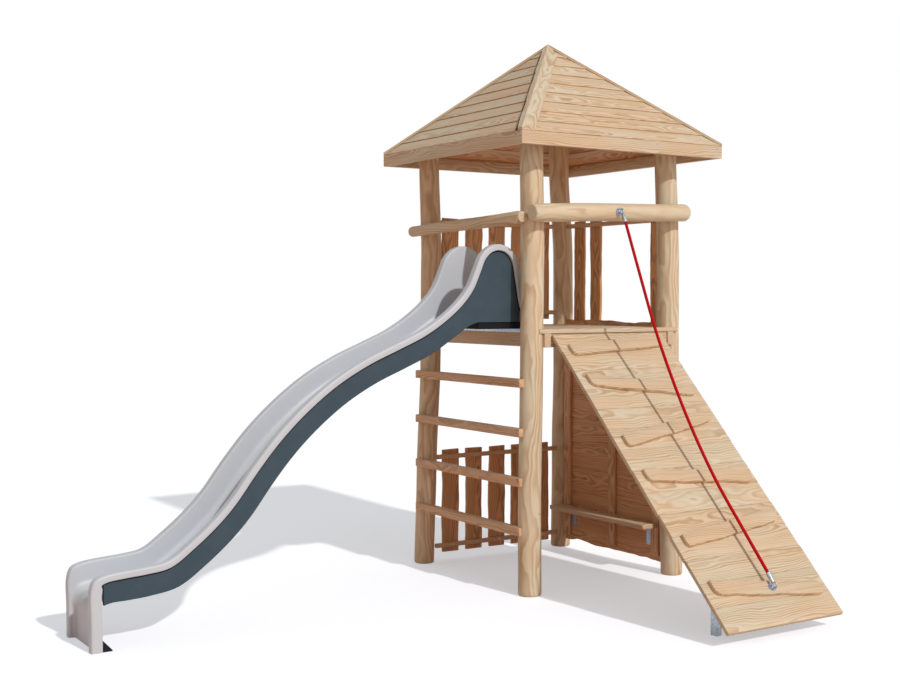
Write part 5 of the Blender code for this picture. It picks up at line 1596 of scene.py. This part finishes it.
class TOWER_OT_fittings(bpy.types.Operator):
    """Eye plates and ferrules of the rope, steel feet, brackets and the deck's edge plate"""

    bl_idname = "tower.fittings"
    bl_label = "Steel fittings"

    def execute(self, context):
        for node, ends in zip(("rope_top_fitting", "rope_bottom_fitting"), rope_ends()):
            self.add_eye(node, *ends)
        refinish("zinc_steel", "ramp_foot_left", "ramp_foot_right", "deck_edge_plate")
        refinish("zinc_steel", "bench_bracket_ramp_end", "bench_bracket_back_end")
        return {"FINISHED"}

    def add_eye(self, node, seat, normal, pull):
        """A round plate with an eye on it, and the ferrule pressed on the rope's end."""
        on_seat = Matrix.Translation(seat) @ normal.to_track_quat("Z", "X").to_matrix().to_4x4()
        meshes = [turned(PLATE_PROFILE, on_seat), turned(BOSS_PROFILE, on_seat, 24)]
        eye, start, _ = eye_place(seat, normal, pull)
        meshes.append(ring_mesh(EYE_RADIUS, 0.004, Matrix.Translation(eye) @ Matrix.Rotation(math.pi / 2, 4, "Y")))
        pointing = pull.to_track_quat("Z", "X").to_matrix().to_4x4()
        meshes.append(turned(SLEEVE_PROFILE, Matrix.Translation(start) @ pointing))
        mesh = joined(meshes, node)
        mesh.transform(TOWER)
        add_piece(node.replace("fitting", "eye"), mesh, "zinc_steel", node, smooth=35.0)


# Screws
def screw_tree():
    """Geometry nodes that set one screw head on every point, facing the way the point says."""
    tree = bpy.data.node_groups.new("screw_heads", "GeometryNodeTree")
    for name, kind in (("Geometry", "Geometry"), ("Head", "Object"), ("Size", "Float"), ("Finish", "Material")):
        tree.interface.new_socket(name, in_out="INPUT", socket_type="NodeSocket" + kind)
    tree.interface.new_socket("Geometry", in_out="OUTPUT", socket_type="NodeSocketGeometry")
    nodes = Nodes(tree)
    given = nodes.add("NodeGroupInput").outputs
    head = nodes.add("GeometryNodeObjectInfo", {"Object": given["Head"]}).outputs["Geometry"]
    facing = nodes.add("GeometryNodeInputNamedAttribute", {"Name": "facing"}, data_type="FLOAT_VECTOR").outputs[0]
    aligned = nodes.add("FunctionNodeAlignRotationToVector", {"Vector": facing}, axis="Z").outputs["Rotation"]
    spin = nodes.add("FunctionNodeRandomValue", {"Max": 3.0, "Seed": 7}, data_type="FLOAT")
    about = nodes.add("ShaderNodeCombineXYZ", {"Z": spin.outputs[1]}).outputs[0]
    turned_head = nodes.add("FunctionNodeEulerToRotation", {0: about}).outputs[0]
    both = nodes.add("FunctionNodeRotateRotation", {0: aligned, 1: turned_head}, rotation_space="LOCAL").outputs[0]
    wanted = {"Points": given["Geometry"], "Instance": head, "Rotation": both, "Scale": given["Size"]}
    placed = nodes.add("GeometryNodeInstanceOnPoints", wanted).outputs["Instances"]
    real = nodes.add("GeometryNodeRealizeInstances", {0: placed}).outputs[0]
    finished = nodes.add("GeometryNodeSetMaterial", {"Geometry": real, "Material": given["Finish"]}).outputs[0]
    nodes.add("NodeGroupOutput", {0: finished})
    return tree


def identifier(tree, name):
    for item in tree.interface.items_tree:
        if item.item_type == "SOCKET" and item.in_out == "INPUT" and item.name == name:
            return item.identifier
    raise KeyError(name)


class TOWER_OT_screws(bpy.types.Operator):
    """Screw heads on the roof trim, fences, wall and brackets"""

    bl_idname = "tower.screws"
    bl_label = "Screws"

    def execute(self, context):
        places = self.on_roof() + self.on_fences() + self.on_wall()
        mesh = bpy.data.meshes.new("screw_places")
        mesh.from_pydata([TOWER @ Vector(point) for point, normal in places], [], [])
        facing = mesh.attributes.new("facing", "FLOAT_VECTOR", "POINT")
        for item, (point, normal) in zip(facing.data, places):
            item.vector = normal
        points = bpy.data.objects.new("screw_places", mesh)
        context.scene.collection.objects.link(points)
        head = bpy.data.objects.new("screw_head", turned(SCREW_PROFILE, Matrix(), 12))
        context.scene.collection.objects.link(head)
        tree = screw_tree()
        modifier = points.modifiers.new("screw_heads", "NODES")
        modifier.node_group = tree
        for name, value in (("Head", head), ("Size", 1.25), ("Finish", finish_for("zinc_steel"))):
            modifier[identifier(tree, name)] = value
        ready = points.evaluated_get(context.evaluated_depsgraph_get())
        heads = bpy.data.meshes.new_from_object(ready)
        bpy.data.objects.remove(points)
        bpy.data.objects.remove(head)
        add_piece("screws", heads, "zinc_steel", smooth=30.0)
        return {"FINISHED"}

    def on_roof(self):
        """Places and facings along the fascia boards and the hip boards."""
        places = []
        for side_x in (-1, 1):
            for side_y in (-1, 1):
                for inset in (0.043, 0.50):
                    places.append(((side_x * EAVE_X, side_y * (EAVE_Y - inset), 2.532), (side_x, 0, 0)))
                    places.append(((side_x * (EAVE_X - inset), side_y * EAVE_Y, 2.532), (0, side_y, 0)))
        for _, side, end, _ in HIPS:
            place, corner, _, inward = hip_lines(side)
            normal = place.to_3x3() @ Vector(UPWARD)
            for share in (0.20, 0.52, 0.81):
                flat = corner * share + inward * 0.032
                places.append((place @ Vector((-end * flat.x, flat.y, HIP_BOARD_TOP)), normal))
        return places

    def on_fences(self):
        """Places and facings where the pickets cross their rails."""
        heights = [height for _, _, rails, _ in FENCES for height in rails]
        places = [((centre, 0.5101, height), (0, -1, 0)) for height in heights for centre in PICKET_PLACES]
        return places + [((0.4986, centre, WALL_SIDE_RAIL), (-1, 0, 0)) for centre, _ in WALL_SIDE_PICKETS]

    def on_wall(self):
        """Places and facings on the wall's boards over the battens, and on the bench's brackets."""
        places = []
        for centre in BATTENS:
            for row in range(WALL_BOARDS):
                for shift in (-0.045, 0.045):
                    height = WALL_BOTTOM + WALL_SCREW_PITCH * (row + 0.5) + shift
                    if height < 1.40 and not 0.24 < height < 0.31:
                        places.append(((0.5244, centre, height), (1, 0, 0)))
        for side in (-1, 1):
            for drop in (0.030, 0.055, 0.080, 0.105):
                places.append(((0.5020, side * 0.3699, 0.268 - drop), (-1, 0, 0)))
        return places


class TOWER_PT_panel(bpy.types.Panel):
    """Sizes, colours and steps of the play tower"""

    bl_idname = "TOWER_PT_panel"
    bl_label = "Play Tower"
    bl_space_type = "VIEW_3D"
    bl_region_type = "UI"
    bl_category = "Play Tower"

    def draw(self, context):
        layout = self.layout
        for group in (context.scene.tower_woodwork, context.scene.tower_finishes, context.scene.tower_stage):
            box = layout.box()
            for name in group.__annotations__:
                box.prop(group, name)
        for operator in OPERATORS:
            layout.operator(operator.bl_idname)


OPERATORS = (
    TOWER_OT_stage,
    TOWER_OT_rope,
    TOWER_OT_posts,
    TOWER_OT_roof,
    TOWER_OT_deck,
    TOWER_OT_fences,
    TOWER_OT_wall,
    TOWER_OT_ramp,
    TOWER_OT_slide,
    TOWER_OT_fittings,
    TOWER_OT_screws,
)
GROUPS = {"tower_woodwork": TowerWoodwork, "tower_finishes": TowerFinishes, "tower_stage": TowerStage}


def register():
    for group in GROUPS.values():
        bpy.utils.register_class(group)
    for name, group in GROUPS.items():
        setattr(bpy.types.Scene, name, PointerProperty(type=group))
    for operator in OPERATORS:
        bpy.utils.register_class(operator)
    bpy.utils.register_class(TOWER_PT_panel)


def unregister():
    bpy.utils.unregister_class(TOWER_PT_panel)
    for operator in reversed(OPERATORS):
        bpy.utils.unregister_class(operator)
    for name, group in GROUPS.items():
        delattr(bpy.types.Scene, name)
        bpy.utils.unregister_class(group)


def main():
    register()
    for operator in OPERATORS:
        area, step = operator.bl_idname.split(".")
        getattr(getattr(bpy.ops, area), step)()


if __name__ == "__main__":
    main()
